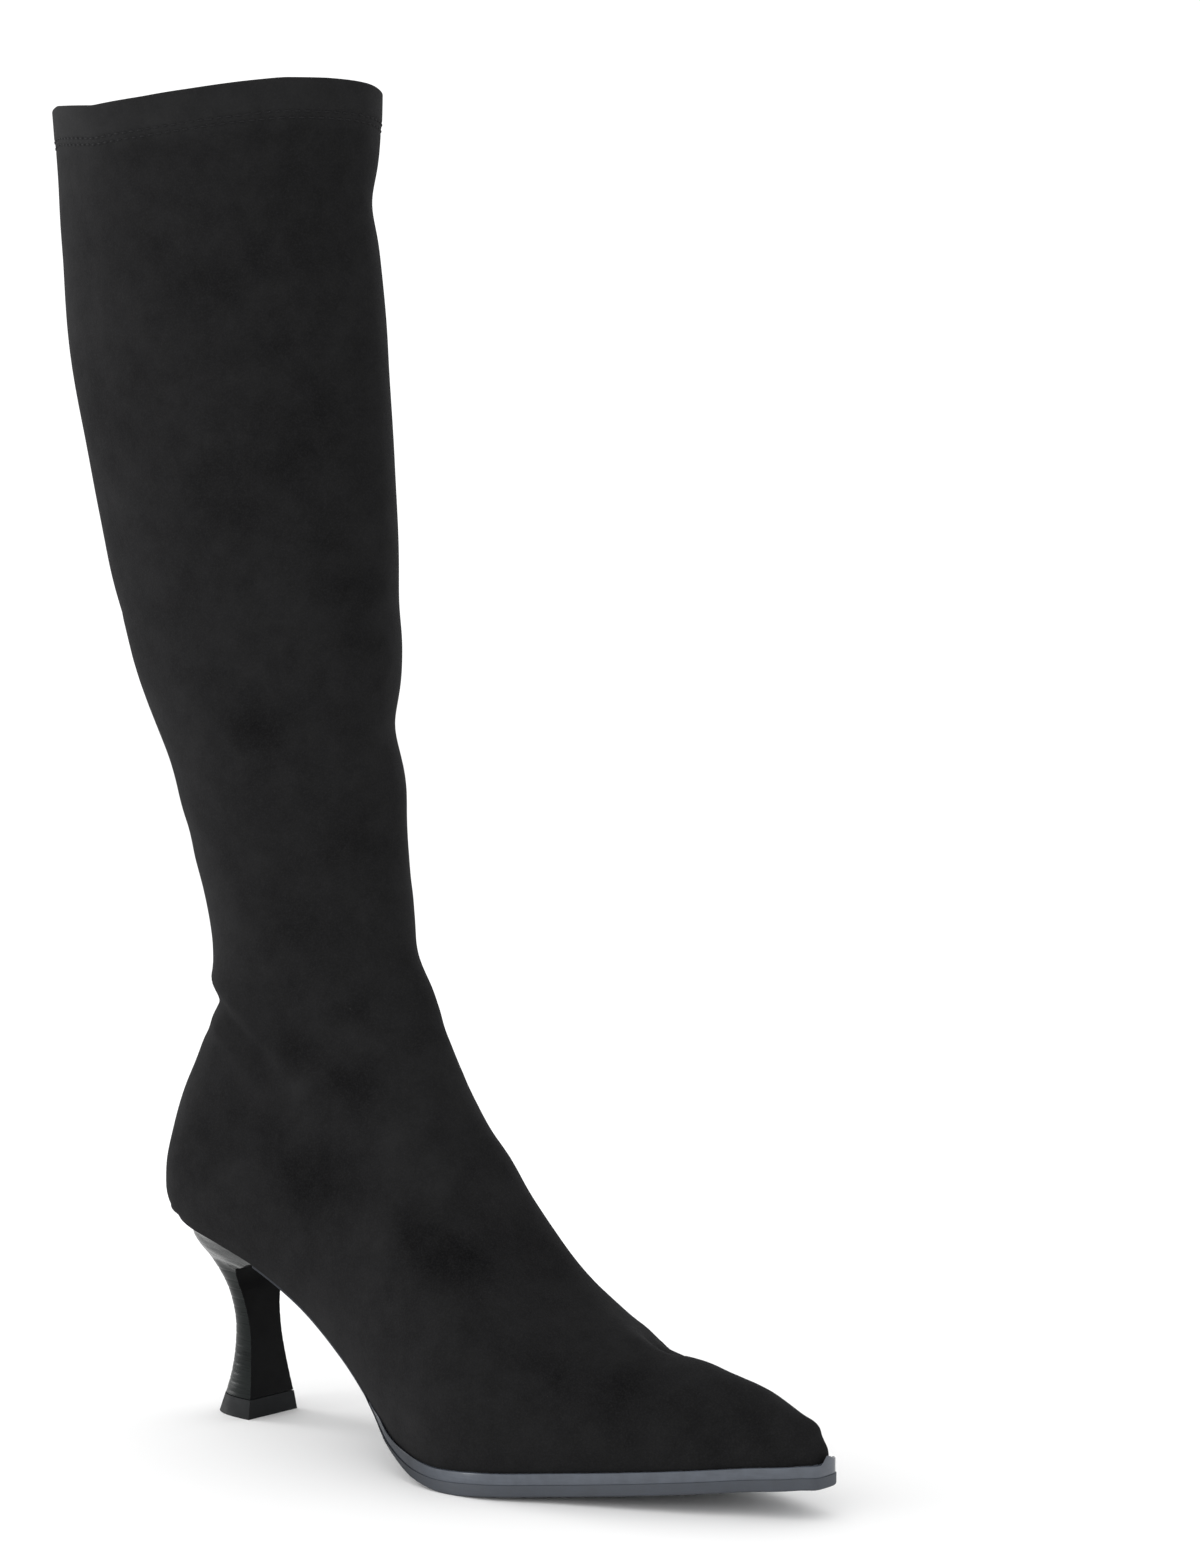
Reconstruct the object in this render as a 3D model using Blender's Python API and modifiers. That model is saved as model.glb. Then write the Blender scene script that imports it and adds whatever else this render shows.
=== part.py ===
"""Right boot, knee high: a stretch shaft on a pointed shoe with a flared spool heel.

Six pieces: upper, insole, welt, outsole, heel and heel top piece. +X runs to the toe, -Y is the
outer side of the foot and +Z is up. The origin is the middle of the heel top piece, on the floor.
Sizes are in millimetres until a mesh is made, and the meshes are in metres.

The upper is one surface. Each of its sections is a flat ring from a point at the bottom or back
to a point at the front, and the sections fan round from the toe, over the heel seat and up the
shaft. The sole pieces follow the line where the same surface meets the sole.
"""

import bpy
import bmesh
import numpy as np

MM = 0.001

# Driving dimensions, in millimetres
FOOT_LENGTH = 257.0        # back of the heel to the tip of the toe, inside the welt
HEEL_BACK = -28.0          # the back of the heel, behind the origin
BALL_WIDTH = 76.0          # where the upper meets the sole
INSTEP_HEIGHT = 96.0       # top of the instep over the floor
HEEL_HEIGHT = 68.0         # underside of the upper at the back of the heel
BOOT_HEIGHT = 430.0        # collar over the floor
CALF_WIDTH = 78.0          # side to side
WALL = 1.8                 # stretch suede with its lining
GAP = 0.3                  # between pieces that touch

INSOLE_THICKNESS = 2.2
INSOLE_INSET = WALL + 0.6
INSOLE_INSET_SEAT = WALL + 3.2
INSOLE_TOE = 224.5         # where the insole ends, short of the tip
WELT_PROUD = 1.3           # how far the welt stands out past the upper
WELT_BACK = 82.0           # where it runs out at the waist
OUTSOLE_PROUD = 1.6
WAIST_TO_BALL = (79.0, 94.0)   # where the layers come out from flush at the waist
TIP_PROUD = 1.2            # how much further they stand out at the tip of the toe
TIP_START = 223.0
OUTSOLE_BACK = 25.1        # where the outsole meets the heel's breast
HEEL_BREAST = 17.0
SEAT_INSET = 0.3           # how far the heel's seat lies inside the upper
TOP_PIECE_HEIGHT = 6.2
SOLE_ROUND = 0.4

# The foot, from the toe to the back of the heel seat: where each section meets the sole and the
# front line (x in hundredths of the foot length from the heel's back; the sole's height in
# hundredths of the heel height, the front's of the instep height), then, in hundredths of the
# ball width, the section's middle, its widest half widths and its half widths at the sole,
# outer and inner. Last, where up the section it is widest, and how sharp its crown is.
FOOT_COLUMNS = ("back_x", "back_z", "front_x", "front_z", "middle", "wide_out", "wide_in",
                "sole_out", "sole_in", "widest_at", "front_fold")
FOOT = (
    (99.8, 24.1, 99.5, 23.4, 10.5, 6.1, 6.1, 5.7, 5.7, 0.25, 0.80),
    (98.8, 23.8, 97.5, 29.7, 10.4, 8.3, 7.9, 7.6, 7.2, 0.25, 0.90),
    (96.9, 22.9, 94.4, 34.4, 10.0, 12.2, 11.6, 11.2, 10.5, 0.25, 1.00),
    (93.0, 21.6, 89.9, 37.8, 9.2, 18.2, 17.4, 16.4, 15.8, 0.25, 1.05),
    (87.2, 19.3, 84.0, 40.4, 8.2, 28.4, 24.9, 26.3, 22.8, 0.26, 1.08),
    (80.2, 16.6, 77.6, 43.2, 6.8, 38.2, 33.4, 35.5, 30.8, 0.27, 1.08),
    (72.4, 14.0, 71.0, 48.8, 5.5, 48.7, 42.1, 45.4, 39.2, 0.28, 1.08),
    (64.6, 12.1, 65.0, 58.3, 4.2, 59.6, 46.6, 56.4, 43.2, 0.28, 1.06),
    (56.8, 11.0, 60.7, 68.8, 3.3, 60.8, 44.1, 57.5, 38.8, 0.28, 1.04),
    (49.8, 14.7, 57.2, 80.2, 2.6, 55.3, 40.8, 50.7, 32.2, 0.28, 1.00),
    (43.6, 27.6, 54.1, 90.6, 2.6, 49.3, 38.8, 42.5, 26.3, 0.28, 0.98),
    (36.6, 44.9, 51.8, 100.0, 2.6, 44.7, 37.5, 35.5, 21.7, 0.28, 0.96),
    (29.2, 64.4, 49.6, 107.8, 2.6, 42.1, 36.8, 33.6, 22.4, 0.27, 0.95),
    (21.8, 79.4, 47.9, 115.1, 2.0, 40.1, 36.8, 33.9, 27.0, 0.26, 0.95),
    (14.8, 88.2, 46.5, 121.4, 1.3, 38.8, 36.8, 32.9, 30.3, 0.25, 0.95),
    (8.9, 93.8, 45.5, 127.1, 0.9, 38.2, 36.8, 30.5, 29.7, 0.25, 0.95),
    (4.7, 96.5, 44.6, 132.3, 0.7, 37.5, 36.8, 23.0, 22.4, 0.25, 0.95),
    (2.1, 97.6, 43.9, 137.0, 0.4, 37.5, 36.8, 11.8, 11.6, 0.25, 0.96),
    (1.9, 98.2, 43.2, 141.1, 0.0, 37.5, 36.8, 0.0, 0.0, 0.24, 0.97),
)

# The leg, from the heel counter to the collar: x as above, heights in hundredths of the boot's,
# widths in hundredths of the calf's, a fold of over 1 for a side that comes to a crease, and
# the section's turn about +Z in degrees.
LEG_COLUMNS = ("back_x", "back_z", "front_x", "front_z", "middle", "wide_out", "wide_in",
               "widest_at", "back_fold", "front_fold", "turn")
LEG = (
    (0.6, 16.2, 42.9, 32.1, 0.0, 36.5, 35.9, 0.25, 1.00, 0.97, 0),
    (-0.1, 17.2, 42.5, 32.7, 0.0, 36.5, 35.9, 0.26, 1.00, 0.98, 0),
    (0.2, 19.5, 41.6, 34.1, 0.0, 36.3, 35.9, 0.30, 1.05, 1.00, -1),
    (1.8, 24.0, 40.1, 36.3, 0.0, 35.9, 35.9, 0.38, 1.20, 1.05, -3),
    (5.6, 29.1, 38.5, 39.2, -0.4, 35.9, 35.9, 0.44, 1.30, 1.10, -4),
    (7.8, 33.5, 37.4, 42.6, -0.8, 35.9, 35.9, 0.47, 1.25, 1.12, -5),
    (7.4, 37.2, 36.8, 45.8, -1.5, 36.9, 36.9, 0.48, 1.20, 1.15, -5),
    (4.9, 42.8, 36.5, 50.5, -3.3, 38.7, 38.7, 0.50, 1.20, 1.15, -3),
    (-0.4, 52.2, 36.6, 58.1, -6.4, 42.9, 42.9, 0.50, 1.20, 1.20, -1),
    (-6.4, 65.6, 36.7, 69.1, -10.9, 47.4, 46.8, 0.50, 1.20, 1.20, 3),
    (-10.1, 79.8, 36.0, 81.4, -16.0, 50.0, 49.4, 0.50, 1.20, 1.20, 6),
    (-10.7, 90.0, 35.1, 90.7, -19.9, 50.0, 50.0, 0.50, 1.20, 1.20, 8),
    (-10.3, 99.2, 36.2, 100.2, -23.1, 51.9, 51.9, 0.50, 1.10, 1.10, 8),
)

# The sole under the upper: x, thickness of all its layers, and of the welt's share of it
SOLE_LAYERS = (
    (24.0, 1.2, 0.0),
    (64.0, 1.4, 0.0),
    (82.0, 1.6, 0.4),
    (88.0, 1.6, 0.7),
    (93.0, 1.9, 0.8),
    (98.0, 2.8, 1.1),
    (104.0, 4.3, 1.8),
    (110.0, 5.7, 2.5),
    (116.0, 6.6, 3.0),
    (122.0, 7.3, 3.3),
    (128.0, 7.7, 3.4),
    (142.0, 7.4, 3.4),
    (230.0, 7.4, 3.4),
)

# The heel under its seat, downward: height and x at its flat breast, height and x at its round
# back, and half its width
HEEL = (
    (54.9, 20.6, 64.6, -19.5, 22.2),
    (53.3, 15.0, 61.0, -19.1, 19.2),
    (51.7, 9.0, 57.0, -17.5, 15.2),
    (49.9, 4.8, 53.6, -15.4, 11.8),
    (45.6, 4.0, 48.4, -10.7, 10.1),
    (41.0, 5.1, 42.8, -6.8, 9.0),
    (36.0, 5.8, 37.0, -4.9, 7.9),
    (30.5, 6.7, 31.0, -3.9, 7.3),
    (25.0, 7.4, 25.0, -3.9, 7.4),
    (19.0, 8.1, 19.0, -4.4, 8.1),
    (12.8, 8.9, 12.8, -5.7, 9.0),
    (TOP_PIECE_HEIGHT + GAP, 9.7, TOP_PIECE_HEIGHT + GAP, -7.9, 10.1),
)
TOP_PIECE = (
    (TOP_PIECE_HEIGHT, 9.8, TOP_PIECE_HEIGHT, -8.1, 10.3),
    (0.0, 10.2, 0.0, -10.6, 11.4),
)
HEEL_ROUNDNESS = 2.4       # 2 is an ellipse; more is squarer

# Mesh fineness
TIP_ROWS = (0.4, 1.0)
LEG_STEP = 13.0
FOOT_STEP = 7.0
LOW_STEPS = 5
HIGH_STEPS = 10
HEEL_STEPS = 14
HEEL_RINGS = 19
DOUBLED = 0.02             # points nearer than this are one
SHARP = 40.0               # degrees over which an edge is sharp

SHAPE = ("back_x", "back_z", "front_x", "front_z", "middle", "wide_out", "wide_in",
         "sole_out", "sole_in", "widest_at", "back_fold", "front_fold", "turn")


def section_table():
    """Every section in millimetres, one row each and one column for each name in SHAPE."""
    length = FOOT_LENGTH / 100
    rows = []
    for values in FOOT:
        row = dict(zip(FOOT_COLUMNS, values), back_fold=1.0, turn=0.0)
        row["back_z"] *= HEEL_HEIGHT / 100
        row["front_z"] *= INSTEP_HEIGHT / 100
        for name in ("middle", "wide_out", "wide_in", "sole_out", "sole_in"):
            row[name] *= BALL_WIDTH / 100
        rows.append(row)
    for values in LEG:
        row = dict(zip(LEG_COLUMNS, values), sole_out=0.0, sole_in=0.0)
        for name in ("back_z", "front_z"):
            row[name] *= BOOT_HEIGHT / 100
        for name in ("middle", "wide_out", "wide_in"):
            row[name] *= CALF_WIDTH / 100
        rows.append(row)
    for row in rows:
        row["back_x"] = HEEL_BACK + row["back_x"] * length
        row["front_x"] = HEEL_BACK + row["front_x"] * length
    return np.array([[row[name] for name in SHAPE] for row in rows])


def rows_between(table, where):
    """Catmull-Rom values of every column at fractional rows of the table."""
    last = len(table) - 1
    i = np.clip(np.floor(where).astype(int), 0, last - 1)
    f = (where - i)[:, None]
    padded = np.vstack([2 * table[0] - table[1], table, 2 * table[-1] - table[-2]])
    a, b, c, d = (padded[i + k] for k in range(4))
    return 0.5 * (2 * b + (c - a) * f + (2 * a - 5 * b + 4 * c - d) * f**2
                  + (3 * b - a - 3 * c + d) * f**3)


def evenly_spaced_rows(table):
    """Fractional rows whose sections lie about FOOT_STEP apart on the foot, LEG_STEP on the leg,
    with two more rows to round the tip of the toe."""
    fine = np.linspace(0, len(table) - 1, 2001)
    values = rows_between(table, fine)
    middle = (values[:, 0:2] + values[:, 2:4]) / 2
    step = np.where(fine[1:] < len(FOOT), FOOT_STEP, LEG_STEP)
    travelled = np.append(0, np.cumsum(np.linalg.norm(np.diff(middle, axis=0), axis=1) / step))
    seat_back = np.interp(len(FOOT) - 1, fine, travelled)
    foot = np.linspace(0, seat_back, round(seat_back) + 1)
    leg = np.linspace(seat_back, travelled[-1], round(travelled[-1] - seat_back) + 1)
    where = np.interp(np.append(foot, leg[1:]), travelled, fine)
    return np.hstack([0, TIP_ROWS, where[where > TIP_ROWS[-1] + 0.3]])


def upper_points(table, where):
    """Points of the upper's outer face: a row for each section, from the outer edge of the
    sole over the front to the inner edge. A half section is a cut ellipse up to its widest
    and a power of an ellipse above it."""
    column = dict(zip(SHAPE, rows_between(table, where).T[:, :, None]))
    low = np.linspace(1, 0, LOW_STEPS + 1)[None, :]
    high = np.linspace(0, np.pi / 2, HIGH_STEPS + 1)[None, 1:]
    halves = []
    for side in ("out", "in"):
        wide = column["wide_" + side]
        at = column["widest_at"]
        share = np.clip(column["sole_" + side] / wide, 0, 0.985)
        start = np.arccos(share ** (1 / column["back_fold"]))
        along = np.hstack([at - at * np.sin(start * low) / np.sin(start),
                           at + (1 - at) * np.sin(high)])
        across = np.hstack([wide * np.cos(start * low) ** column["back_fold"],
                            wide * np.clip(np.cos(high), 0, None) ** column["front_fold"]])
        halves.append((along, across))
    (along_out, across_out), (along_in, across_in) = halves
    along = np.hstack([along_out, along_in[:, -2::-1]])
    across = np.hstack([-across_out, across_in[:, -2::-1]])
    reach = (along - 0.5) * (column["front_x"] - column["back_x"])
    turn = np.radians(column["turn"])
    x = (column["back_x"] + column["front_x"]) / 2 + reach * np.cos(turn) - across * np.sin(turn)
    y = column["middle"] + reach * np.sin(turn) + across * np.cos(turn)
    z = column["back_z"] + along * (column["front_z"] - column["back_z"])
    return np.stack([x, y, z], axis=-1)


def sole_line(table, rows):
    """Where the upper meets the sole, from the toe to the back of the seat: x, outer y, inner y
    and z of every row of the foot."""
    column = dict(zip(SHAPE, rows_between(table, rows[rows < len(FOOT) - 0.999]).T))
    outer = column["middle"] - np.clip(column["sole_out"], 0, None)
    inner = column["middle"] + np.clip(column["sole_in"], 0, None)
    return np.column_stack([column["back_x"], outer, inner, column["back_z"]])


def with_station(line, x):
    """The sole line with one more station, at x."""
    station = [np.interp(x, line[::-1, 0], values) for values in line[::-1].T]
    ahead = line[:, 0] > x
    return np.vstack([line[ahead], station, line[~ahead & (line[:, 0] < x)]])


def offset_sides(line, distance):
    """The two sides of the sole line in plan, each point pushed outward by its distance. The
    tip is squared off, and the sides meet at the back of the seat."""
    distance = np.broadcast_to(distance, len(line))
    sides = []
    for sign, y in ((-1, line[:, 1]), (1, line[:, 2])):
        # The line is carried round the back of the seat, so that the last normal points back
        path = np.column_stack([np.append(line[:, 0], line[-2, 0]), np.append(y, 2 * y[-1] - y[-2])])
        along = np.gradient(path, axis=0)[:-1]
        along /= np.linalg.norm(along, axis=1, keepdims=True)
        normal = sign * along[:, ::-1] * (1, -1)
        side = path[:-1] + normal * distance[:, None]
        slide = distance[0] * (1 - normal[0, 0]) / along[0, 0]
        side[0] += slide * along[0]
        sides.append(side)
    return sides


def sole_height(line, x):
    """Height of the line where the upper meets the sole."""
    return np.interp(x, line[::-1, 0], line[::-1, 3])


def new_object(name, vertices, faces, material, collection):
    """A mesh object from points in millimetres, with doubled points merged and faces outward."""
    mesh = bpy.data.meshes.new(name)
    mesh.from_pydata((np.asarray(vertices) * MM).tolist(), [], faces)
    shape = bmesh.new()
    shape.from_mesh(mesh)
    bmesh.ops.remove_doubles(shape, verts=shape.verts, dist=DOUBLED * MM)
    bmesh.ops.dissolve_degenerate(shape, edges=shape.edges, dist=DOUBLED * MM)
    bmesh.ops.recalc_face_normals(shape, faces=shape.faces)
    shape.to_mesh(mesh)
    shape.free()
    mesh.materials.append(material)
    mesh.shade_smooth()
    mesh.set_sharp_from_angle(angle=np.radians(SHARP))
    piece = bpy.data.objects.new(name, mesh)
    collection.objects.link(piece)
    return piece


def grid_faces(rows, columns, closed):
    """Quads of a grid of points numbered row by row, its ends joined if it is closed."""
    faces = []
    for i in range(rows - 1):
        for j in range(columns if closed else columns - 1):
            k = (j + 1) % columns
            faces.append((i * columns + j, i * columns + k,
                          (i + 1) * columns + k, (i + 1) * columns + j))
    return faces


def ladder_faces(start, count):
    """Faces that fill a ring of points whose second half runs back beside its first."""
    last = start + count - 1
    rungs = [(start + j, start + j + 1, last - j - 1, last - j) for j in range((count - 1) // 2)]
    # With an odd count the two halves share a point, and the last face is a triangle
    return [tuple(dict.fromkeys(rung)) for rung in rungs]


def loft(name, rings, material, collection):
    """A closed solid through rings of points, filled at both ends."""
    rings = np.asarray(rings)
    count, around = rings.shape[:2]
    faces = grid_faces(count, around, True)
    faces += ladder_faces(0, around) + ladder_faces((count - 1) * around, around)
    return new_object(name, rings.reshape(-1, 3), faces, material, collection)


def sole_layer(name, line, distance, front, back, heights, material, collection):
    """A layer under the foot from x front to x back, between two heights worked out from x."""
    line = with_station(with_station(line, front), back)
    kept = (line[:, 0] <= front) & (line[:, 0] >= back)
    outer, inner = (side[kept] for side in offset_sides(line, distance(line[:, 0])))
    ring = np.vstack([outer, inner[::-1]])
    rings = [np.column_stack([ring, height(ring[:, 0])]) for height in heights]
    return loft(name, rings, material, collection)


def round_edges(piece, width):
    bevel = piece.modifiers.new("round edges", "BEVEL")
    bevel.width = width * MM
    bevel.segments = 2
    bevel.limit_method = "ANGLE"
    bevel.angle_limit = np.radians(SHARP)


def plain_material(name, colour, roughness):
    material = bpy.data.materials.new(name)
    material.use_nodes = True
    shader = material.node_tree.nodes["Principled BSDF"]
    shader.inputs["Base Color"].default_value = (*colour, 1)
    shader.inputs["Roughness"].default_value = roughness
    return material


def make_upper(table, rows, collection):
    points = upper_points(table, rows)
    count, columns = points.shape[:2]
    faces = grid_faces(count, columns, False)
    # The tip of the toe is flat; the inner side is joined to the outer along the crown
    faces += ladder_faces(0, columns)
    suede = plain_material("black stretch suede", (0.010, 0.010, 0.011), 0.95)
    upper = new_object("upper", points.reshape(-1, 3), faces, suede, collection)
    wall = upper.modifiers.new("wall", "SOLIDIFY")
    wall.thickness = WALL * MM
    wall.offset = -1
    wall.use_even_offset = True


def make_insole(line, collection):
    def inset(x):
        return -np.interp(x, (-10, 20), (INSOLE_INSET_SEAT, INSOLE_INSET))

    def bottom(x):
        return sole_height(line, x)

    def top(x):
        return sole_height(line, x) + INSOLE_THICKNESS

    tan = plain_material("tan insole", (0.42, 0.27, 0.15), 0.7)
    sole_layer("insole", line, inset, INSOLE_TOE, line[-1, 0], (top, bottom), tan, collection)


def make_welt_and_outsole(line, collection):
    layers = np.array(SOLE_LAYERS)

    def welt_top(x):
        return sole_height(line, x) - GAP

    def welt_bottom(x):
        return welt_top(x) - np.interp(x, layers[:, 0], layers[:, 2])

    def outsole_top(x):
        under_welt = np.interp(x, (WELT_BACK - 4, WELT_BACK - 1), (0, 1.5 * GAP))
        return welt_bottom(x) - under_welt

    def ground(x):
        return np.maximum(sole_height(line, x) - np.interp(x, layers[:, 0], layers[:, 1]), 0)

    def tip_edge(x):
        return np.interp(x, (TIP_START, line[0, 0]), (0, TIP_PROUD))

    def welt_edge(x):
        return np.interp(x, WAIST_TO_BALL, (0, WELT_PROUD)) + tip_edge(x)

    def outsole_edge(x):
        return np.interp(x, WAIST_TO_BALL, (0, OUTSOLE_PROUD)) + tip_edge(x)

    gloss = plain_material("glossy welt", (0.020, 0.023, 0.026), 0.25)
    matte = plain_material("matte rubber sole", (0.016, 0.018, 0.020), 0.6)
    toe = line[0, 0]
    welt = sole_layer("welt", line, welt_edge, toe, WELT_BACK, (welt_top, welt_bottom), gloss,
                      collection)
    outsole = sole_layer("outsole", line, outsole_edge, toe, OUTSOLE_BACK, (outsole_top, ground),
                         matte, collection)
    round_edges(welt, SOLE_ROUND)
    round_edges(outsole, SOLE_ROUND)


def seat_ring(line):
    """The heel's seat: the sole line behind the breast, a little inside and below the upper."""
    line = with_station(line, HEEL_BREAST)
    halves = []
    for side in offset_sides(line, -SEAT_INSET):
        side = side[line[:, 0] <= HEEL_BREAST]
        travelled = np.append(0, np.cumsum(np.linalg.norm(np.diff(side, axis=0), axis=1)))
        even = np.linspace(0, travelled[-1], HEEL_STEPS + 1)
        x, y = (np.interp(even, travelled, values) for values in side.T)
        halves.append(np.column_stack([x, y, sole_height(line, x) - GAP]))
    return np.vstack([halves[0], halves[1][::-1]])


def heel_ring(breast_z, breast_x, back_z, back_x, half_width):
    """A D: round at the back and flat at the breast, from its outer corner to its inner one."""
    turn = np.linspace(0, np.pi / 2, HEEL_STEPS + 1)
    depth = np.sin(turn) ** (2 / HEEL_ROUNDNESS)
    width = np.clip(np.cos(turn), 0, None) ** (2 / HEEL_ROUNDNESS)
    x = breast_x + depth * (back_x - breast_x)
    z = breast_z + depth * (back_z - breast_z)
    outer = np.column_stack([x, -half_width * width, z])
    return np.vstack([outer, (outer * (1, -1, 1))[::-1]])


def make_heel(line, collection):
    heights = rows_between(np.array(HEEL), np.linspace(0, len(HEEL) - 1, HEEL_RINGS))
    rings = [seat_ring(line)] + [heel_ring(*row) for row in heights]
    stacked = plain_material("black stacked heel", (0.012, 0.014, 0.014), 0.35)
    loft("heel", rings, stacked, collection)
    rubber = plain_material("rubber top piece", (0.014, 0.014, 0.016), 0.55)
    top_piece = loft("heel_top_piece", [heel_ring(*row) for row in TOP_PIECE], rubber, collection)
    round_edges(top_piece, SOLE_ROUND)


def main():
    for leftover in list(bpy.data.objects):
        bpy.data.objects.remove(leftover, do_unlink=True)
    collection = bpy.data.collections.new("knee high boot")
    bpy.context.scene.collection.children.link(collection)
    table = section_table()
    rows = evenly_spaced_rows(table)
    line = sole_line(table, rows)
    make_upper(table, rows, collection)
    make_insole(line, collection)
    make_welt_and_outsole(line, collection)
    make_heel(line, collection)


main()
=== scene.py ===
"""Looks of a knee high right boot: a stretch suede shaft on a pointed shoe, a two-layer sole edge
and a stacked spool heel. +X runs to the toe, -Y is the outer side of the foot and +Z is up.
Lengths are in millimetres until a mesh is made, and the meshes are in metres.
"""

import bmesh
import bpy
import numpy as np
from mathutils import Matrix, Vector


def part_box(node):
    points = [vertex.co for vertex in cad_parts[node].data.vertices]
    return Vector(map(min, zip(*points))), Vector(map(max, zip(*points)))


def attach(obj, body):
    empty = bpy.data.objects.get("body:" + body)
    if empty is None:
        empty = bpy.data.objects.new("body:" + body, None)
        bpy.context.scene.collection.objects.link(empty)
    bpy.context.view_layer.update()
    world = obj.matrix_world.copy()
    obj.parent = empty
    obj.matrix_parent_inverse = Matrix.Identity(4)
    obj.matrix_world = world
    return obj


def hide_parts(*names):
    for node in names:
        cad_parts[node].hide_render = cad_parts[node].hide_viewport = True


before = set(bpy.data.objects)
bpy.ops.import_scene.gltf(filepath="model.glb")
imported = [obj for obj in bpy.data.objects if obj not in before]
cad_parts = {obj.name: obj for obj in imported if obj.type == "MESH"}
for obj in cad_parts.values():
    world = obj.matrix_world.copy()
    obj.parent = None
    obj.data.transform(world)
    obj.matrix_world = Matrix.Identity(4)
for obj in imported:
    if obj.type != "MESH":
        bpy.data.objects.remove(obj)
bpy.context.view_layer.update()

MM = 0.001


# ---- Upper ---------------------------------------------------------------------------------
# Black stretch suede, one skin from the toe to the collar with a seam up the back of the leg.
# It is pulled over the last and cemented under the insole. The collar is turned in and sewn
# down with two rows of thread, and the leg is soft enough to fold at the ankle.

FOOT_LENGTH = 257.0        # back of the heel to the tip of the toe, inside the welt
HEEL_BACK = -28.0          # the back of the heel, behind the origin
BALL_WIDTH = 76.0
INSTEP_HEIGHT = 96.0
HEEL_HEIGHT = 68.0         # underside of the upper at the back of the heel
BOOT_HEIGHT = 430.0
CALF_WIDTH = 78.0

# The foot, from the toe to the back of the heel seat: where each section meets the sole and the
# front line (x in hundredths of the foot length from the heel's back; the sole's height in
# hundredths of the heel height, the front's of the instep height), then, in hundredths of the
# ball width, the section's middle, its widest half widths and its half widths at the sole,
# outer and inner. Last, where up the section it is widest, and how sharp its crown is.
FOOT_COLUMNS = ("back_x", "back_z", "front_x", "front_z", "middle", "wide_out", "wide_in",
                "sole_out", "sole_in", "widest_at", "front_fold")
FOOT = (
    (99.8, 24.1, 99.5, 23.4, 10.5, 6.1, 6.1, 5.7, 5.7, 0.25, 0.80),
    (98.8, 23.8, 97.5, 29.7, 10.4, 8.3, 7.9, 7.6, 7.2, 0.25, 0.90),
    (96.9, 22.9, 94.4, 34.4, 10.0, 12.2, 11.6, 11.2, 10.5, 0.25, 1.00),
    (93.0, 21.6, 89.9, 37.8, 9.2, 18.2, 17.4, 16.4, 15.8, 0.25, 1.05),
    (87.2, 19.3, 84.0, 40.4, 8.2, 28.4, 24.9, 26.3, 22.8, 0.26, 1.08),
    (80.2, 16.6, 77.6, 43.2, 6.8, 38.2, 33.4, 35.5, 30.8, 0.27, 1.08),
    (72.4, 14.0, 71.0, 48.8, 5.5, 48.7, 42.1, 45.4, 39.2, 0.28, 1.08),
    (64.6, 12.1, 65.0, 58.3, 4.2, 59.6, 46.6, 56.4, 43.2, 0.28, 1.06),
    (56.8, 11.0, 60.7, 68.8, 3.3, 60.8, 44.1, 57.5, 38.8, 0.28, 1.04),
    (49.8, 14.7, 57.2, 80.2, 2.6, 55.3, 40.8, 50.7, 32.2, 0.28, 1.00),
    (43.6, 27.6, 54.1, 90.6, 2.6, 49.3, 38.8, 42.5, 26.3, 0.28, 0.98),
    (36.6, 44.9, 51.8, 100.0, 2.6, 44.7, 37.5, 35.5, 21.7, 0.28, 0.96),
    (29.2, 64.4, 49.6, 107.8, 2.6, 42.1, 36.8, 33.6, 22.4, 0.27, 0.95),
    (21.8, 79.4, 47.9, 115.1, 2.0, 40.1, 36.8, 33.9, 27.0, 0.26, 0.95),
    (14.8, 88.2, 46.5, 121.4, 1.3, 38.8, 36.8, 32.9, 30.3, 0.25, 0.95),
    (8.9, 93.8, 45.5, 127.1, 0.9, 38.2, 36.8, 30.5, 29.7, 0.25, 0.95),
    (4.7, 96.5, 44.6, 132.3, 0.7, 37.5, 36.8, 23.0, 22.4, 0.25, 0.95),
    (2.1, 97.6, 43.9, 137.0, 0.4, 37.5, 36.8, 11.8, 11.6, 0.25, 0.96),
    (1.9, 98.2, 43.2, 141.1, 0.0, 37.5, 36.8, 0.0, 0.0, 0.24, 0.97),
)

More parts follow.
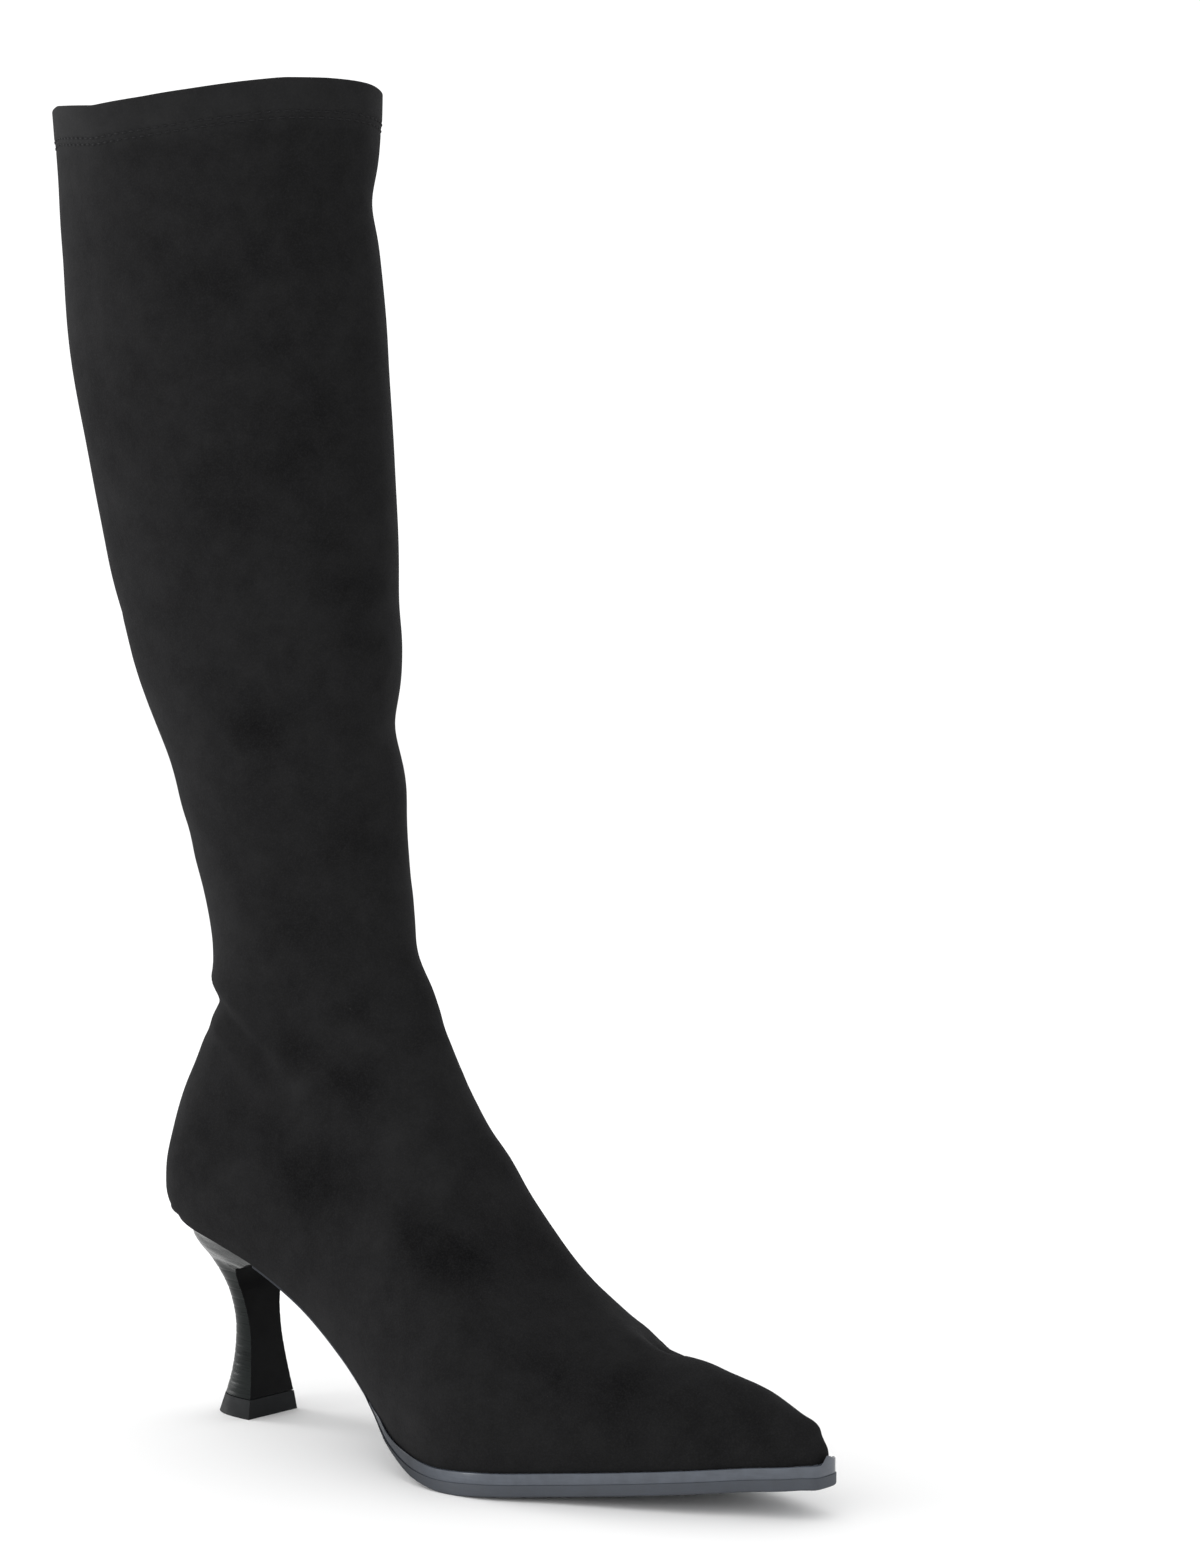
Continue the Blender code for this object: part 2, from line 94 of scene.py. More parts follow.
# The leg, from the heel counter to the collar: x as above, heights in hundredths of the boot's,
# widths in hundredths of the calf's, a fold of over 1 for a side that comes to a crease, and
# the section's turn about +Z in degrees.
LEG_COLUMNS = ("back_x", "back_z", "front_x", "front_z", "middle", "wide_out", "wide_in",
               "widest_at", "back_fold", "front_fold", "turn")
LEG = (
    (0.6, 16.2, 42.9, 32.1, 0.0, 36.5, 35.9, 0.25, 1.00, 0.97, 0),
    (-0.1, 17.2, 42.5, 32.7, 0.0, 36.5, 35.9, 0.26, 1.00, 0.98, 0),
    (0.2, 19.5, 41.6, 34.1, 0.0, 36.3, 35.9, 0.30, 1.05, 1.00, -1),
    (1.8, 24.0, 40.1, 36.3, 0.0, 35.9, 35.9, 0.38, 1.20, 1.05, -3),
    (5.6, 29.1, 38.5, 39.2, -0.4, 35.9, 35.9, 0.44, 1.30, 1.10, -4),
    (7.8, 33.5, 37.4, 42.6, -0.8, 35.9, 35.9, 0.47, 1.25, 1.12, -5),
    (7.4, 37.2, 36.8, 45.8, -1.5, 36.9, 36.9, 0.48, 1.20, 1.15, -5),
    (4.9, 42.8, 36.5, 50.5, -3.3, 38.7, 38.7, 0.50, 1.20, 1.15, -3),
    (-0.4, 52.2, 36.6, 58.1, -6.4, 42.9, 42.9, 0.50, 1.20, 1.20, -1),
    (-6.4, 65.6, 36.7, 69.1, -10.9, 47.4, 46.8, 0.50, 1.20, 1.20, 3),
    (-10.1, 79.8, 36.0, 81.4, -16.0, 50.0, 49.4, 0.50, 1.20, 1.20, 6),
    (-10.7, 90.0, 35.1, 90.7, -19.9, 50.0, 50.0, 0.50, 1.20, 1.20, 8),
    (-10.3, 99.2, 36.2, 100.2, -23.1, 51.9, 51.9, 0.50, 1.10, 1.10, 8),
)
SHAPE = ("back_x", "back_z", "front_x", "front_z", "middle", "wide_out", "wide_in",
         "sole_out", "sole_in", "widest_at", "back_fold", "front_fold", "turn")
SEAT = len(FOOT) - 1       # the row of the table at the back of the heel seat

FOOT_STEP = 2.3            # between sections, along their middles and their soles together
LEG_STEP = 2.4
TOE_STEP = 1.0             # between the sections within TOE_REACH of the tip
TOE_REACH = 6.0
HEM_STEP = 0.7             # between those within HEM_REACH of the collar
HEM_REACH = 18.0
FINE_ROWS = 6001           # places along the table at which its length is measured
PLACES_BELOW, PLACES_ABOVE = 61, 180   # on half a section, to its widest and from there on
WIDEST_SOLE = 0.985        # the sole's half width is at most this share of the widest
HALF_COLUMNS = 60          # from the sole, or the back of the leg, to the front
FAIRED_ROWS = 1.6          # how far from the seat's row of the table the shape is faired
FAIRED_COLUMNS = 8         # the fairing fades out this near the edge at the sole
FAIRING_PASSES = 8
SEAT_TURN = 8              # rows that close round the seat
TURNED_COLUMNS = (6, 14)   # columns from the edge where their turned normals fade out
TIP_BULGE = 0.9            # how far the toe's end is domed
TIP_RINGS = 6
TIP_TURN = 1.4             # the dome's first ring, in radians back from its furthest point
MISFIT = 1.0               # the most by which the shape's corners may miss the frame's

SUEDE = 0.85               # thickness of the one skin
HEM = 1.8                  # and where it is turned in
HEM_DEPTH = 12.6           # collar to the cut edge inside
CUT_EDGE = (0.4, 0.3)      # the thickness steps this far below and above the cut edge
RIM_RINGS = 7
STITCH_ROWS = (9.4, 11.4)  # below the collar
STITCH_DIP = (0.22, 0.6)   # depth and half width
HEM_PUFF = 0.30            # the hem stands out past the single skin
# The way round in degrees (0 the back, 90 the outer side, 180 the front) and how far the
# collar's fold line dips there
COLLAR_DIP = ((0, 0.7), (36, 0.9), (67, 4.1), (92, 3.6), (112, 2.6), (130, 1.4), (146, 0.4),
              (162, 0.5), (172, 0.8), (182, 1.2), (194, 1.8), (225, 1.5), (270, 2.4), (320, 1.6),
              (360, 0.7))
DIP_REACH = 55.0           # the dip fades out this far below the collar
BACK_SEAM = (0.30, 0.9)    # depth and half width

# Folds of the leg. Each is its half width, the share of its depth that stands up beside it, and
# its line: the height, the way round in degrees as above, and how far it stands out there.
LEG_FOLDS = (
    (9.0, 0.0, ((393, 158, -0.2), (395, 182, -1.2), (395, 200, -1.6), (396, 218, -0.8),
                (399, 240, -0.1))),
    (12.0, 0.0, ((408, 5, -0.3), (401, 38, -0.8), (394, 75, -0.3))),
    (16.0, 0.0, ((378, 38, 0.3), (360, 40, 0.8), (335, 40, 0.9), (312, 40, 0.5), (295, 40, 0.2))),
    (16.0, 0.0, ((284, 10, 0.4), (270, 42, 1.1), (252, 44, 1.5), (240, 75, 0.3))),
    (14.0, 0.0, ((340, 182, 0.2), (315, 184, 0.6), (285, 186, 0.6), (268, 186, 0.4))),
    (9.0, 0.0, ((260, 150, 0.2), (257, 185, 1.1), (257, 210, 0.7), (262, 240, 0.1))),
    (9.5, 0.15, ((238, 105, -0.2), (235, 128, -0.8), (231, 160, -1.7), (229, 190, -2.8),
                 (229, 212, -2.0), (233, 240, -0.6), (240, 262, -0.1))),
    (10.0, 0.0, ((213, 160, 0.2), (208, 186, 1.6), (198, 189, 1.7), (187, 190, 1.1),
                 (178, 192, 0.2))),
    (13.0, 0.0, ((212, -45, -0.3), (216, 0, -0.9), (213, 45, -1.3), (206, 90, -0.5),
                 (200, 112, -0.1))),
    (9.0, 0.0, ((384, 136, -0.1), (345, 140, -0.6), (300, 141, -0.6), (266, 138, -0.2))),
    (8.0, 0.0, ((150, -70, 0.2), (152, 0, 0.5), (150, 52, 0.6), (148, 80, 0.2))),
    (13.0, 0.0, ((112, -70, -0.3), (117, -20, -0.8), (119, 48, -1.1), (108, 76, -0.5))),
    (7.0, 0.0, ((160, 160, -0.2), (158, 185, -1.0), (158, 205, -0.7), (162, 225, -0.1))),
    (3.6, 0.3, ((186, 88, -0.05), (180, 104, -0.6), (176, 124, -0.65), (177, 146, -0.1))),
    (3.2, 0.3, ((170, 96, -0.05), (164, 110, -0.6), (165, 130, -0.55), (169, 148, -0.05))),
    (3.4, 0.3, ((152, 100, -0.05), (145, 116, -0.6), (146, 136, -0.5), (151, 152, -0.05))),
    (3.6, 0.3, ((188, -84, -0.05), (181, -102, -0.55), (178, -126, -0.5), (181, -148, -0.1))),
    (3.4, 0.3, ((166, -92, -0.05), (161, -108, -0.5), (163, -130, -0.4), (168, -146, -0.05))),
    (5.0, 0.2, ((196, 20, -0.1), (191, 50, -0.7), (186, 82, -0.5), (184, 104, -0.05))),
    (5.0, 0.2, ((194, -14, -0.1), (189, -46, -0.5), (185, -78, -0.3), (184, -98, -0.05))),
    (14.0, 0.0, ((318, -60, -0.1), (312, -96, -0.7), (300, -130, -0.5), (290, -150, -0.1))),
)
# Folds of the foot: the same, but a line's stations are x, y, z and how far it stands out.
FOOT_FOLDS = (
    # the crease that rings the ankle over the stiff counter
    (3.4, 0.3, ((47, -24, 108, -0.1), (39, -25, 114, -0.8), (33, -26, 121.5, -1.4),
                 (27, -27, 126.5, -1.8), (20, -27.5, 132, -1.9), (13, -26, 137, -2.1),
                 (3, -20, 139.2, -2.3), (-5, -10, 140.4, -1.9), (-8, 0, 140.4, -1.4),
                 (-5, 10, 140, -1.5), (3, 20, 140, -1.4), (12, 26, 137, -1.2), (24, 27, 129, -0.8),
                 (36, 26, 119, -0.4), (45, 25, 110, -0.1))),
    # the full round back of the seat
    (7.0, 0.0, ((-20, 10, 70, 0.4), (-24, 0, 70.5, 1.0), (-21, -9, 70, 1.2), (-15, -17, 70, 1.1),
                (-6, -23, 69, 0.3))),
    (4.5, 0.0, ((-23, -6, 71, 0.05), (-20, -15, 71, 0.25), (-15.5, -19.5, 70, 0.25),
                (-9, -23, 69.5, 0.05))),
    # and the flatter counter above it
    (6.0, 0.0, ((-22, 12, 79, -0.3), (-27, 0, 79, -0.7), (-25, -10, 79, -0.8),
                (-18, -19, 79, -0.7), (-8, -25, 78, -0.2))),
    # under the crease the counter runs straight
    (5.5, 0.0, ((12, -25, 130, -0.2), (3, -20, 132.5, -1.5), (-4, -12, 133.5, -2.0),
                (-8, 0, 134, -2.0), (-4, 11, 133.5, -0.9), (4, 20, 132, -0.1))),
    (12.0, 0.0, ((24, -27, 93, -0.2), (58, -27, 88, -0.8), (84, -25, 83, -0.8),
                 (104, -26, 72, -0.6), (122, -25, 63, -0.1))),
    (12.0, 0.0, ((30, 27, 92, -0.2), (60, 27, 86, -0.7), (86, 25, 78, -0.6), (110, 24, 64, -0.1))),
    # soft puckers in front of the crease
    (4.5, 0.3, ((44, -25, 117, 0.2), (48, -24, 114, 0.8), (54, -22, 110, 0.2))),
    (5.0, 0.3, ((58, -20, 135, 0.2), (64, -18, 131, 0.7), (72, -15, 126, 0.2))),
    (5.5, 0.3, ((78, -21, 102, 0.2), (85, -19, 99, 0.9), (92, -17, 94, 0.2))),
    (3.0, 0.3, ((97, -20, 88, 0.1), (102, -18, 86, 0.5), (108, -15, 84, 0.1))),
    # the front line of the instep and the throat, and the toe's top
    (9.0, 0.0, ((93, -8, 106, -0.3), (96, 7, 106, -1.0), (92, 17, 104, -0.3))),
    (12.0, 0.0, ((98, 8, 102, 0.2), (112, 10, 86, 0.8), (126, 13, 66, 0.8), (136, 17, 56, 0.4))),
    (5.0, 0.3, ((149, 21, 46.5, -0.1), (156, 18, 44, -0.9), (163, 15, 42, -2.4),
                (169, 13, 40.7, -1.9), (175, 11, 39, -0.2))),
    (9.0, 0.0, ((170, 14, 41, 0.1), (179, 13, 38.5, 0.8), (189, 11, 37.5, 0.4),
                (198, 10, 36, 0.1))),
    (4.5, 0.0, ((154, 27, 40, -0.3), (158, 25, 39.3, -1.2), (164, 23, 38, -1.0),
                (170, 19.5, 37.5, -0.7), (176, 16, 37.5, -0.1))),
    (4.5, 0.0, ((141, 29, 45, 0.1), (146, 28, 42.5, 0.5), (150, 25.5, 42, 0.4),
                (153, 22, 42, 0.1))),
    (4.5, 0.0, ((208, 8, 33.5, -0.2), (214, 9, 32, -1.0), (219, 9, 30.5, -1.1))),
    (3.5, 0.0, ((221, 10, 28, 0.4), (224, 11.5, 25, 1.0), (225.5, 12, 22.5, 0.3))),
)
FOLD_STEPS = 5             # places on a fold's line for each of its stations
BANK = (2.0, 0.8)          # middle and half width of what stands up beside it, in half widths
# Where the nap lies over and looks darker, or stands up and looks lighter, and also painted
# shade and painted highlights: darker in the hollows of the foot, over the toe's top, in a band
# down the outer side of the leg and along the outer back edge of the calf, and lighter on the
# tops of the puckers and low on the foot's sides. Each is x, y, z, how far it spreads and how
# strong it is.
NAP_AND_SHADE_PATCHES = (
    (28, -48, 367, 9, -0.55), (34, -45, 365, 6, -0.4), (30, -43, 306, 10, -0.5),
    (50, -34, 377, 13, -0.4), (51, -32, 348, 13, -0.4), (54, -29, 316, 13, -0.5),
    (58, -24, 290, 13, -0.5), (62, -18, 272, 9, -0.7), (63, -15, 256, 9, -0.7),
    (36, -34, 229, 9, -0.8), (43, -31, 228, 7, -0.4), (62, -15, 190, 8, -0.4),
    (57, -21, 159, 9, -0.4), (45, -26, 165, 8, -0.35), (65, -17, 139, 5, -0.6),
    (43, -24, 125, 6, -0.7), (67, -18, 117, 9, -1.0), (34, -26, 100, 7, -0.6),
    (46, -27, 89, 10, -0.9), (59, -27, 86, 12, -1.0), (76, -26, 84, 8, -0.5),
    (91, -25, 80, 6, -0.5), (100, -26, 73, 9, -0.9), (109, -26, 69, 10, -1.0),
    (119, -24, 65, 8, -0.6), (147, -23, 43, 9, -0.5), (156, -25, 36, 8, -0.4),
    (173, -18, 32, 10, -0.6), (173, -8, 39, 8, -0.5), (190, -6, 34, 9, -0.3),
    (47, -24, 115, 4, 0.6), (84, -19, 100, 5, 0.8), (63, -18, 132, 5, 0.5),
    (71, -13, 139, 4, 0.4), (101, -18, 87, 3, 0.5), (55, -21, 178, 4, 0.3),
    (-31, -41, 321, 22, -0.6), (-25, -37, 287, 20, -0.5), (-19, -33, 253, 20, -0.5),
    (-7, -26, 214, 18, -0.6), (-17, -46, 320, 16, -0.3), (13, -28, 101, 12, -0.4),
    (-10, -26, 84, 12, -0.3), (101, -36, 42, 15, -0.5), (103, -1, 98, 9, -0.5),
    (60, -25, 48, 16, 0.2), (150, -30, 16, 14, 0.2),
    (40, 36, 340, 16, -0.5), (22, 30, 290, 12, -0.4), (48, 26, 225, 12, -0.5),
    (52, 28, 92, 14, -0.8), (96, 27, 70, 12, -0.7), (66, 22, 118, 9, -0.6),
    (84, 24, 100, 6, 0.5), (150, 26, 30, 12, -0.4), (128, 8, 62, 18, -0.5), (165, 5, 42, 16, -0.5),
    (200, 4, 34, 16, -0.6),
)
HEM_NAP = 0.95
PUFF_FADE, NAP_FADE = 1, 5 # how far below the stitches the hem's puff and its nap fade out
EDGE_DROP = 0.25           # the suede's edge reaches down to the sole and the heel
EDGE_COLUMNS = 2.5         # nothing is lifted at that edge, and all of it from here on
SLACK = 0.22               # height of the cloth's gentle waves
SLACK_LENGTHS = (22.0, 60.0)
SLACK_WAVES = 14
SLACK_HEIGHTS = (30, 150)  # the waves grow from none to full between these


def section_table():
    """Every section in millimetres, one row each and one column for each name in SHAPE."""
    rows = []
    for values in FOOT:
        row = dict(zip(FOOT_COLUMNS, values), back_fold=1.0, turn=0.0)
        row["back_z"] *= HEEL_HEIGHT / 100
        row["front_z"] *= INSTEP_HEIGHT / 100
        for name in ("middle", "wide_out", "wide_in", "sole_out", "sole_in"):
            row[name] *= BALL_WIDTH / 100
        rows.append(row)
    for values in LEG:
        row = dict(zip(LEG_COLUMNS, values), sole_out=0.0, sole_in=0.0)
        for name in ("back_z", "front_z"):
            row[name] *= BOOT_HEIGHT / 100
        for name in ("middle", "wide_out", "wide_in"):
            row[name] *= CALF_WIDTH / 100
        rows.append(row)
    for row in rows:
        row["back_x"] = HEEL_BACK + row["back_x"] * FOOT_LENGTH / 100
        row["front_x"] = HEEL_BACK + row["front_x"] * FOOT_LENGTH / 100
    return np.array([[row[name] for name in SHAPE] for row in rows])


def rows_between(table, where):
    """Catmull-Rom values of every column at fractional rows of a table."""
    last = len(table) - 1
    i = np.clip(np.floor(where).astype(int), 0, last - 1)
    f = (where - i)[:, None]
    padded = np.vstack([2 * table[0] - table[1], table, 2 * table[-1] - table[-2]])
    a, b, c, d = (padded[i + k] for k in range(4))
    return 0.5 * (2 * b + (c - a) * f + (2 * a - 5 * b + 4 * c - d) * f**2
                  + (3 * b - a - 3 * c + d) * f**3)


TABLE = section_table()


def spaced_rows(steps):
    """Fractional rows of TABLE, spaced evenly in each stretch. A stretch is its last row and the
    step in it, measured along the sections' middles and along the sole together."""
    fine = np.linspace(0, len(TABLE) - 1, FINE_ROWS)
    column = dict(zip(SHAPE, rows_between(TABLE, fine).T))
    path = np.stack([column["back_x"], column["back_z"], column["sole_out"],
                     (column["back_x"] + column["front_x"]) / 2,
                     (column["back_z"] + column["front_z"]) / 2])
    travelled = np.append(0, np.cumsum(np.linalg.norm(np.diff(path), axis=0)))
    stops = [np.zeros(1)]
    for last, step in steps:
        start = stops[-1][-1]
        end = np.interp(last, fine, travelled)
        stops.append(np.linspace(start, end, max(1, round((end - start) / step)) + 1)[1:])
    return np.interp(np.concatenate(stops), travelled, fine)


def half_section(column, side):
    """How far along each section, from its sole or back to its front, and how far across it:
    a cut ellipse up to the widest and a power of an ellipse above it."""
    low = np.linspace(1, 0, PLACES_BELOW)[None, :]
    high = np.linspace(0, np.pi / 2, PLACES_ABOVE + 1)[None, 1:]
    wide = column["wide_" + side]
    at = column["widest_at"]
    share = np.clip(column["sole_" + side] / wide, 0, WIDEST_SOLE)
    start = np.arccos(share ** (1 / column["back_fold"]))
    along = np.hstack([at - at * np.sin(start * low) / np.sin(start),
                       at + (1 - at) * np.sin(high)])
    across = np.hstack([wide * np.cos(start * low) ** column["back_fold"],
                        wide * np.clip(np.cos(high), 0, None) ** column["front_fold"]])
    return along, across


def upper_grid(where, half_columns):
    """Points of the upper's outer face: a row for each fractional row of TABLE, from the outer
    edge of the sole (or the back of the leg) over the front to the inner edge, evenly spaced by
    length round each half."""
    column = dict(zip(SHAPE, rows_between(TABLE, where).T[:, :, None]))
    turn = np.radians(column["turn"])
    halves = []
    for side, sign in (("out", -1), ("in", 1)):
        along, across = half_section(column, side)
        middle_x = (column["back_x"] + column["front_x"]) / 2
        reach = (along - 0.5) * (column["front_x"] - column["back_x"])
        across = sign * across
        points = np.stack([
            middle_x + reach * np.cos(turn) - across * np.sin(turn),
            column["middle"] + reach * np.sin(turn) + across * np.cos(turn),
            column["back_z"] + along * (column["front_z"] - column["back_z"])], axis=-1)
        steps = np.linalg.norm(np.diff(points, axis=1), axis=-1)
        length = np.cumsum(np.pad(steps, ((0, 0), (1, 0))), axis=1)
        even = np.linspace(0, 1, half_columns + 1)
        halves.append(np.array([[np.interp(even * row_length[-1], row_length, values)
                                 for values in row_points.T]
                                for row_length, row_points in zip(length, points)]))
    outer, inner = (half.transpose(0, 2, 1) for half in halves)
    return np.concatenate([outer, inner[:, -2::-1]], axis=1)


def smooth_step(values, start, end):
    """0 up to the start, 1 from the end on, and a smooth cubic between them."""
    share = np.clip((values - start) / (end - start), 0, 1)
    return share * share * (3 - 2 * share)


def columns_from_edge(grid):
    """How many columns each column of a grid lies in from the nearer of its two edges."""
    columns = np.arange(grid.shape[1])
    return np.minimum(columns, columns[::-1])


def grid_normals(grid, closed_rows):
    """Outward unit normals of a grid whose rows run toe to collar and whose columns run from the
    outer side over the front: the cross product of its two central differences, taken round
    the back seam on the closed rows."""
    along = np.gradient(grid, axis=0)
    wrapped = np.concatenate([grid[:, -2:-1], grid, grid[:, 1:2]], axis=1)
    across = np.where(closed_rows[:, None, None], wrapped[:, 2:] - wrapped[:, :-2],
                      np.gradient(grid, axis=1))
    normal = np.cross(across, along)
    normal[closed_rows, 0] = normal[closed_rows, -1] = normal[closed_rows][:, [0, -1]].sum(axis=1)
    normal /= np.linalg.norm(normal, axis=-1, keepdims=True) + 1e-12
    # Rows and columns run side by side where they close round the seat, so there the normals near
    # the edges turn evenly from the row before to the row after
    seat = np.flatnonzero(closed_rows)[0]
    turning = slice(seat - SEAT_TURN, seat + 1)
    share = np.linspace(0, 1, SEAT_TURN + 1)[:, None, None]
    turned = normal[seat - SEAT_TURN] * (1 - share) + normal[seat + 1] * share
    free = smooth_step(columns_from_edge(grid), *TURNED_COLUMNS)[:, None]
    normal[turning] = turned * (1 - free) + normal[turning] * free
    return normal / (np.linalg.norm(normal, axis=-1, keepdims=True) + 1e-12)


def dome_tip(grid):
    """The grid with rings added ahead of its first row. They draw in and down to its middle at
    the sole as they move forward, as the quarter of an ellipse."""
    turn = np.linspace(TIP_TURN, 0, TIP_RINGS + 1)[:-1, None, None]
    middle = (grid[0, 0] + grid[0, -1]) / 2
    rings = middle + (grid[0] - middle) * np.cos(turn) + np.array([TIP_BULGE, 0, 0]) * np.sin(turn)
    return np.concatenate([rings, grid])


def faired_seat(grid, rows):
    """The grid smoothed along its columns where its sections close round the seat: each point
    drawn towards the middle of its neighbours, several times over. Where the edge of the suede
    meets the sole it keeps its place."""
    fading = smooth_step(columns_from_edge(grid), 0, FAIRED_COLUMNS)
    free = np.where(rows[:, None] > SEAT + 0.001, 1, fading)
    share = 0.5 * free * np.exp(-((rows[:, None] - SEAT) / FAIRED_ROWS) ** 2)
    for _ in range(FAIRING_PASSES):
        between = (grid[:-2] + grid[2:]) / 2
        grid[1:-1] += share[1:-1, :, None] * (between - grid[1:-1])
    return grid


hem_row = np.interp(BOOT_HEIGHT - HEM_REACH, TABLE[:, 1], np.arange(len(TABLE)))
toe_row = np.interp(TOE_REACH, HEEL_BACK + FOOT_LENGTH - TABLE[:SEAT, 0], np.arange(SEAT))
upper_rows = spaced_rows(((toe_row, TOE_STEP), (SEAT, FOOT_STEP), (hem_row, LEG_STEP),
                          (len(TABLE) - 1, HEM_STEP)))
plain = upper_grid(upper_rows, HALF_COLUMNS)

lowest, highest = (np.array(corner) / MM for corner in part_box("upper"))
misfit = np.abs([plain.min(axis=(0, 1)) - lowest, plain.max(axis=(0, 1)) - highest]).max()
if misfit > MISFIT:
    raise ValueError(f"the upper's shape is {misfit:.1f} mm off the frame's")

# The fold line of the collar dips, most on the outer side
dip = np.interp(np.linspace(0, 360, 2 * HALF_COLUMNS + 1), *np.array(COLLAR_DIP).T)
plain[..., 2] -= dip * smooth_step(plain[..., 2], BOOT_HEIGHT - DIP_REACH, BOOT_HEIGHT)

plain = dome_tip(faired_seat(plain, upper_rows))
closed_rows = np.append(np.zeros(TIP_RINGS, bool), upper_rows > SEAT - 0.001)
upper_normals = grid_normals(plain, closed_rows)
steps = np.linalg.norm(np.diff(plain, axis=0), axis=-1)
below_collar = np.pad(np.cumsum(steps[::-1], axis=0)[::-1], ((0, 1), (0, 0)))


def on_leg(height, around):
    """The place on the leg at a height and a way round, in degrees from the back."""
    column = round(around % 360 / 360 * 2 * HALF_COLUMNS)
    rising = plain[TIP_RINGS:, column][upper_rows > SEAT - 0.001]
    return [np.interp(height, rising[:, 2], values) for values in rising.T]


def fold_height(points, width, bank, stations):
    """How far a fold lifts each point: its depth at the nearest place on its line, times a bell
    curve of the distance, less a share of the same beside it. The line is a Catmull-Rom curve
    through the stations, each laid on the surface."""
    stations = np.array(stations, float)
    flat, flat_normals = points.reshape(-1, 3), upper_normals.reshape(-1, 3)
    nearest = np.linalg.norm(flat - stations[:, None, :3], axis=-1).argmin(axis=1)
    off = ((flat[nearest] - stations[:, :3]) * flat_normals[nearest]).sum(axis=1, keepdims=True)
    stations[:, :3] += off * flat_normals[nearest]
    line = rows_between(stations, np.linspace(0, len(stations) - 1, FOLD_STEPS * len(stations)))
    start, step = line[:-1, :3], np.diff(line[:, :3], axis=0)
    reach = points[..., None, :] - start
    share = np.clip((reach * step).sum(-1) / (step**2).sum(-1), 0, 1)
    gap = np.linalg.norm(reach - share[..., None] * step, axis=-1)
    depth = line[:-1, 3] + share * np.diff(line[:, 3])
    pick = gap.argmin(axis=-1)[..., None]
    gap, depth = (np.take_along_axis(values, pick, -1)[..., 0] / scale
                  for values, scale in ((gap, width), (depth, 1)))
    return depth * (np.exp(-gap**2) - bank * np.exp(-((gap - BANK[0]) / BANK[1]) ** 2))


lift = np.zeros(plain.shape[:2])
for width, bank, line in LEG_FOLDS:
    stations = [(*on_leg(height, around), depth) for height, around, depth in line]
    lift += fold_height(plain, width, bank, stations)
for width, bank, line in FOOT_FOLDS:
    lift += fold_height(plain, width, bank, line)

# The cloth's gentle waves: a sum of sines along random lines, stiller at the toe and the counter
chance = np.random.default_rng(7)
for _ in range(SLACK_WAVES):
    heading = chance.normal(size=3)
    heading /= np.linalg.norm(heading)
    length = chance.uniform(*SLACK_LENGTHS)
    start = chance.uniform(0, 2 * np.pi)
    wave = np.sin(plain @ heading * 2 * np.pi / length + start)
    lift += wave * SLACK / np.sqrt(SLACK_WAVES) * smooth_step(plain[..., 2], *SLACK_HEIGHTS)


def in_hem(fade):
    """1 in the turned-in collar, and 0 from a distance below its lower row of stitches."""
    return smooth_step(-below_collar, -STITCH_ROWS[1] - fade, -STITCH_ROWS[0] + 2)


# The hem: a little proud, with a dip along each row of stitches
lift += HEM_PUFF * in_hem(PUFF_FADE)
for row in STITCH_ROWS:
    lift -= STITCH_DIP[0] * np.exp(-((below_collar - row) / STITCH_DIP[1]) ** 2)

# The back seam: a groove on the closed rows
seam_depth, seam_width = BACK_SEAM
seam_column = columns_from_edge(plain)
seam_gap = seam_column * np.linalg.norm(plain[:, 1] - plain[:, 0], axis=-1)[:, None]
lift -= seam_depth * np.exp(-(seam_gap / seam_width) ** 2) * closed_rows[:, None]

# The edge drawn in under the foot stays on the sole line
lift[~closed_rows] *= smooth_step(seam_column, 0, EDGE_COLUMNS)
suede_face = plain + upper_normals * lift[..., None]
suede_face[:np.flatnonzero(closed_rows)[0] + 1, [0, -1], 2] -= EDGE_DROP
suede_normals = grid_normals(suede_face, closed_rows)

# How light the nap is, with the painted shade and painted highlights, from -1 to 1: a bell curve
# round each patch, and the hem
nap_and_shade = HEM_NAP * in_hem(NAP_FADE)
for *place, reach, strength in NAP_AND_SHADE_PATCHES:
    nap_and_shade += strength * np.exp(-(((plain - place) / reach) ** 2).sum(axis=-1))
nap_and_shade = np.clip(nap_and_shade, -1, 1)


def rim_rings(face, normals, depth):
    """Half a circle over the top edge, from the face to a depth behind it."""
    rise = face[-1] - face[-2]
    rise /= np.linalg.norm(rise, axis=-1, keepdims=True)
    turn = np.linspace(0, np.pi, RIM_RINGS + 2)[1:-1, None, None]
    return face[-1] + depth / 2 * (rise * np.sin(turn) - normals[-1] * (1 - np.cos(turn)))


def grid_faces(rows, columns, closed=False):
    """Quads of a grid of points numbered row by row, its ends joined if it is closed."""
    corner = np.arange(rows * columns).reshape(rows, columns)
    if closed:
        corner = np.hstack([corner, corner[:, :1]])
    return np.stack([corner[:-1, :-1], corner[:-1, 1:], corner[1:, 1:], corner[1:, :-1]],
                    axis=-1).reshape(-1, 4).tolist()


def ladder_faces(ring):
    """Faces that fill a ring of point numbers whose second half runs back beside its first."""
    last = len(ring) - 1
    rungs = [(ring[j], ring[j + 1], ring[last - j - 1], ring[last - j]) for j in range(last // 2)]
    # With an odd count the two halves share a point, and the last face is a triangle
    return [tuple(dict.fromkeys(rung)) for rung in rungs]


DOUBLED = 0.01             # points nearer than this are one
DEGENERATE = 0.002         # edges shorter than this are dissolved
SHARP = 40                 # degrees over which an edge isn't smooth


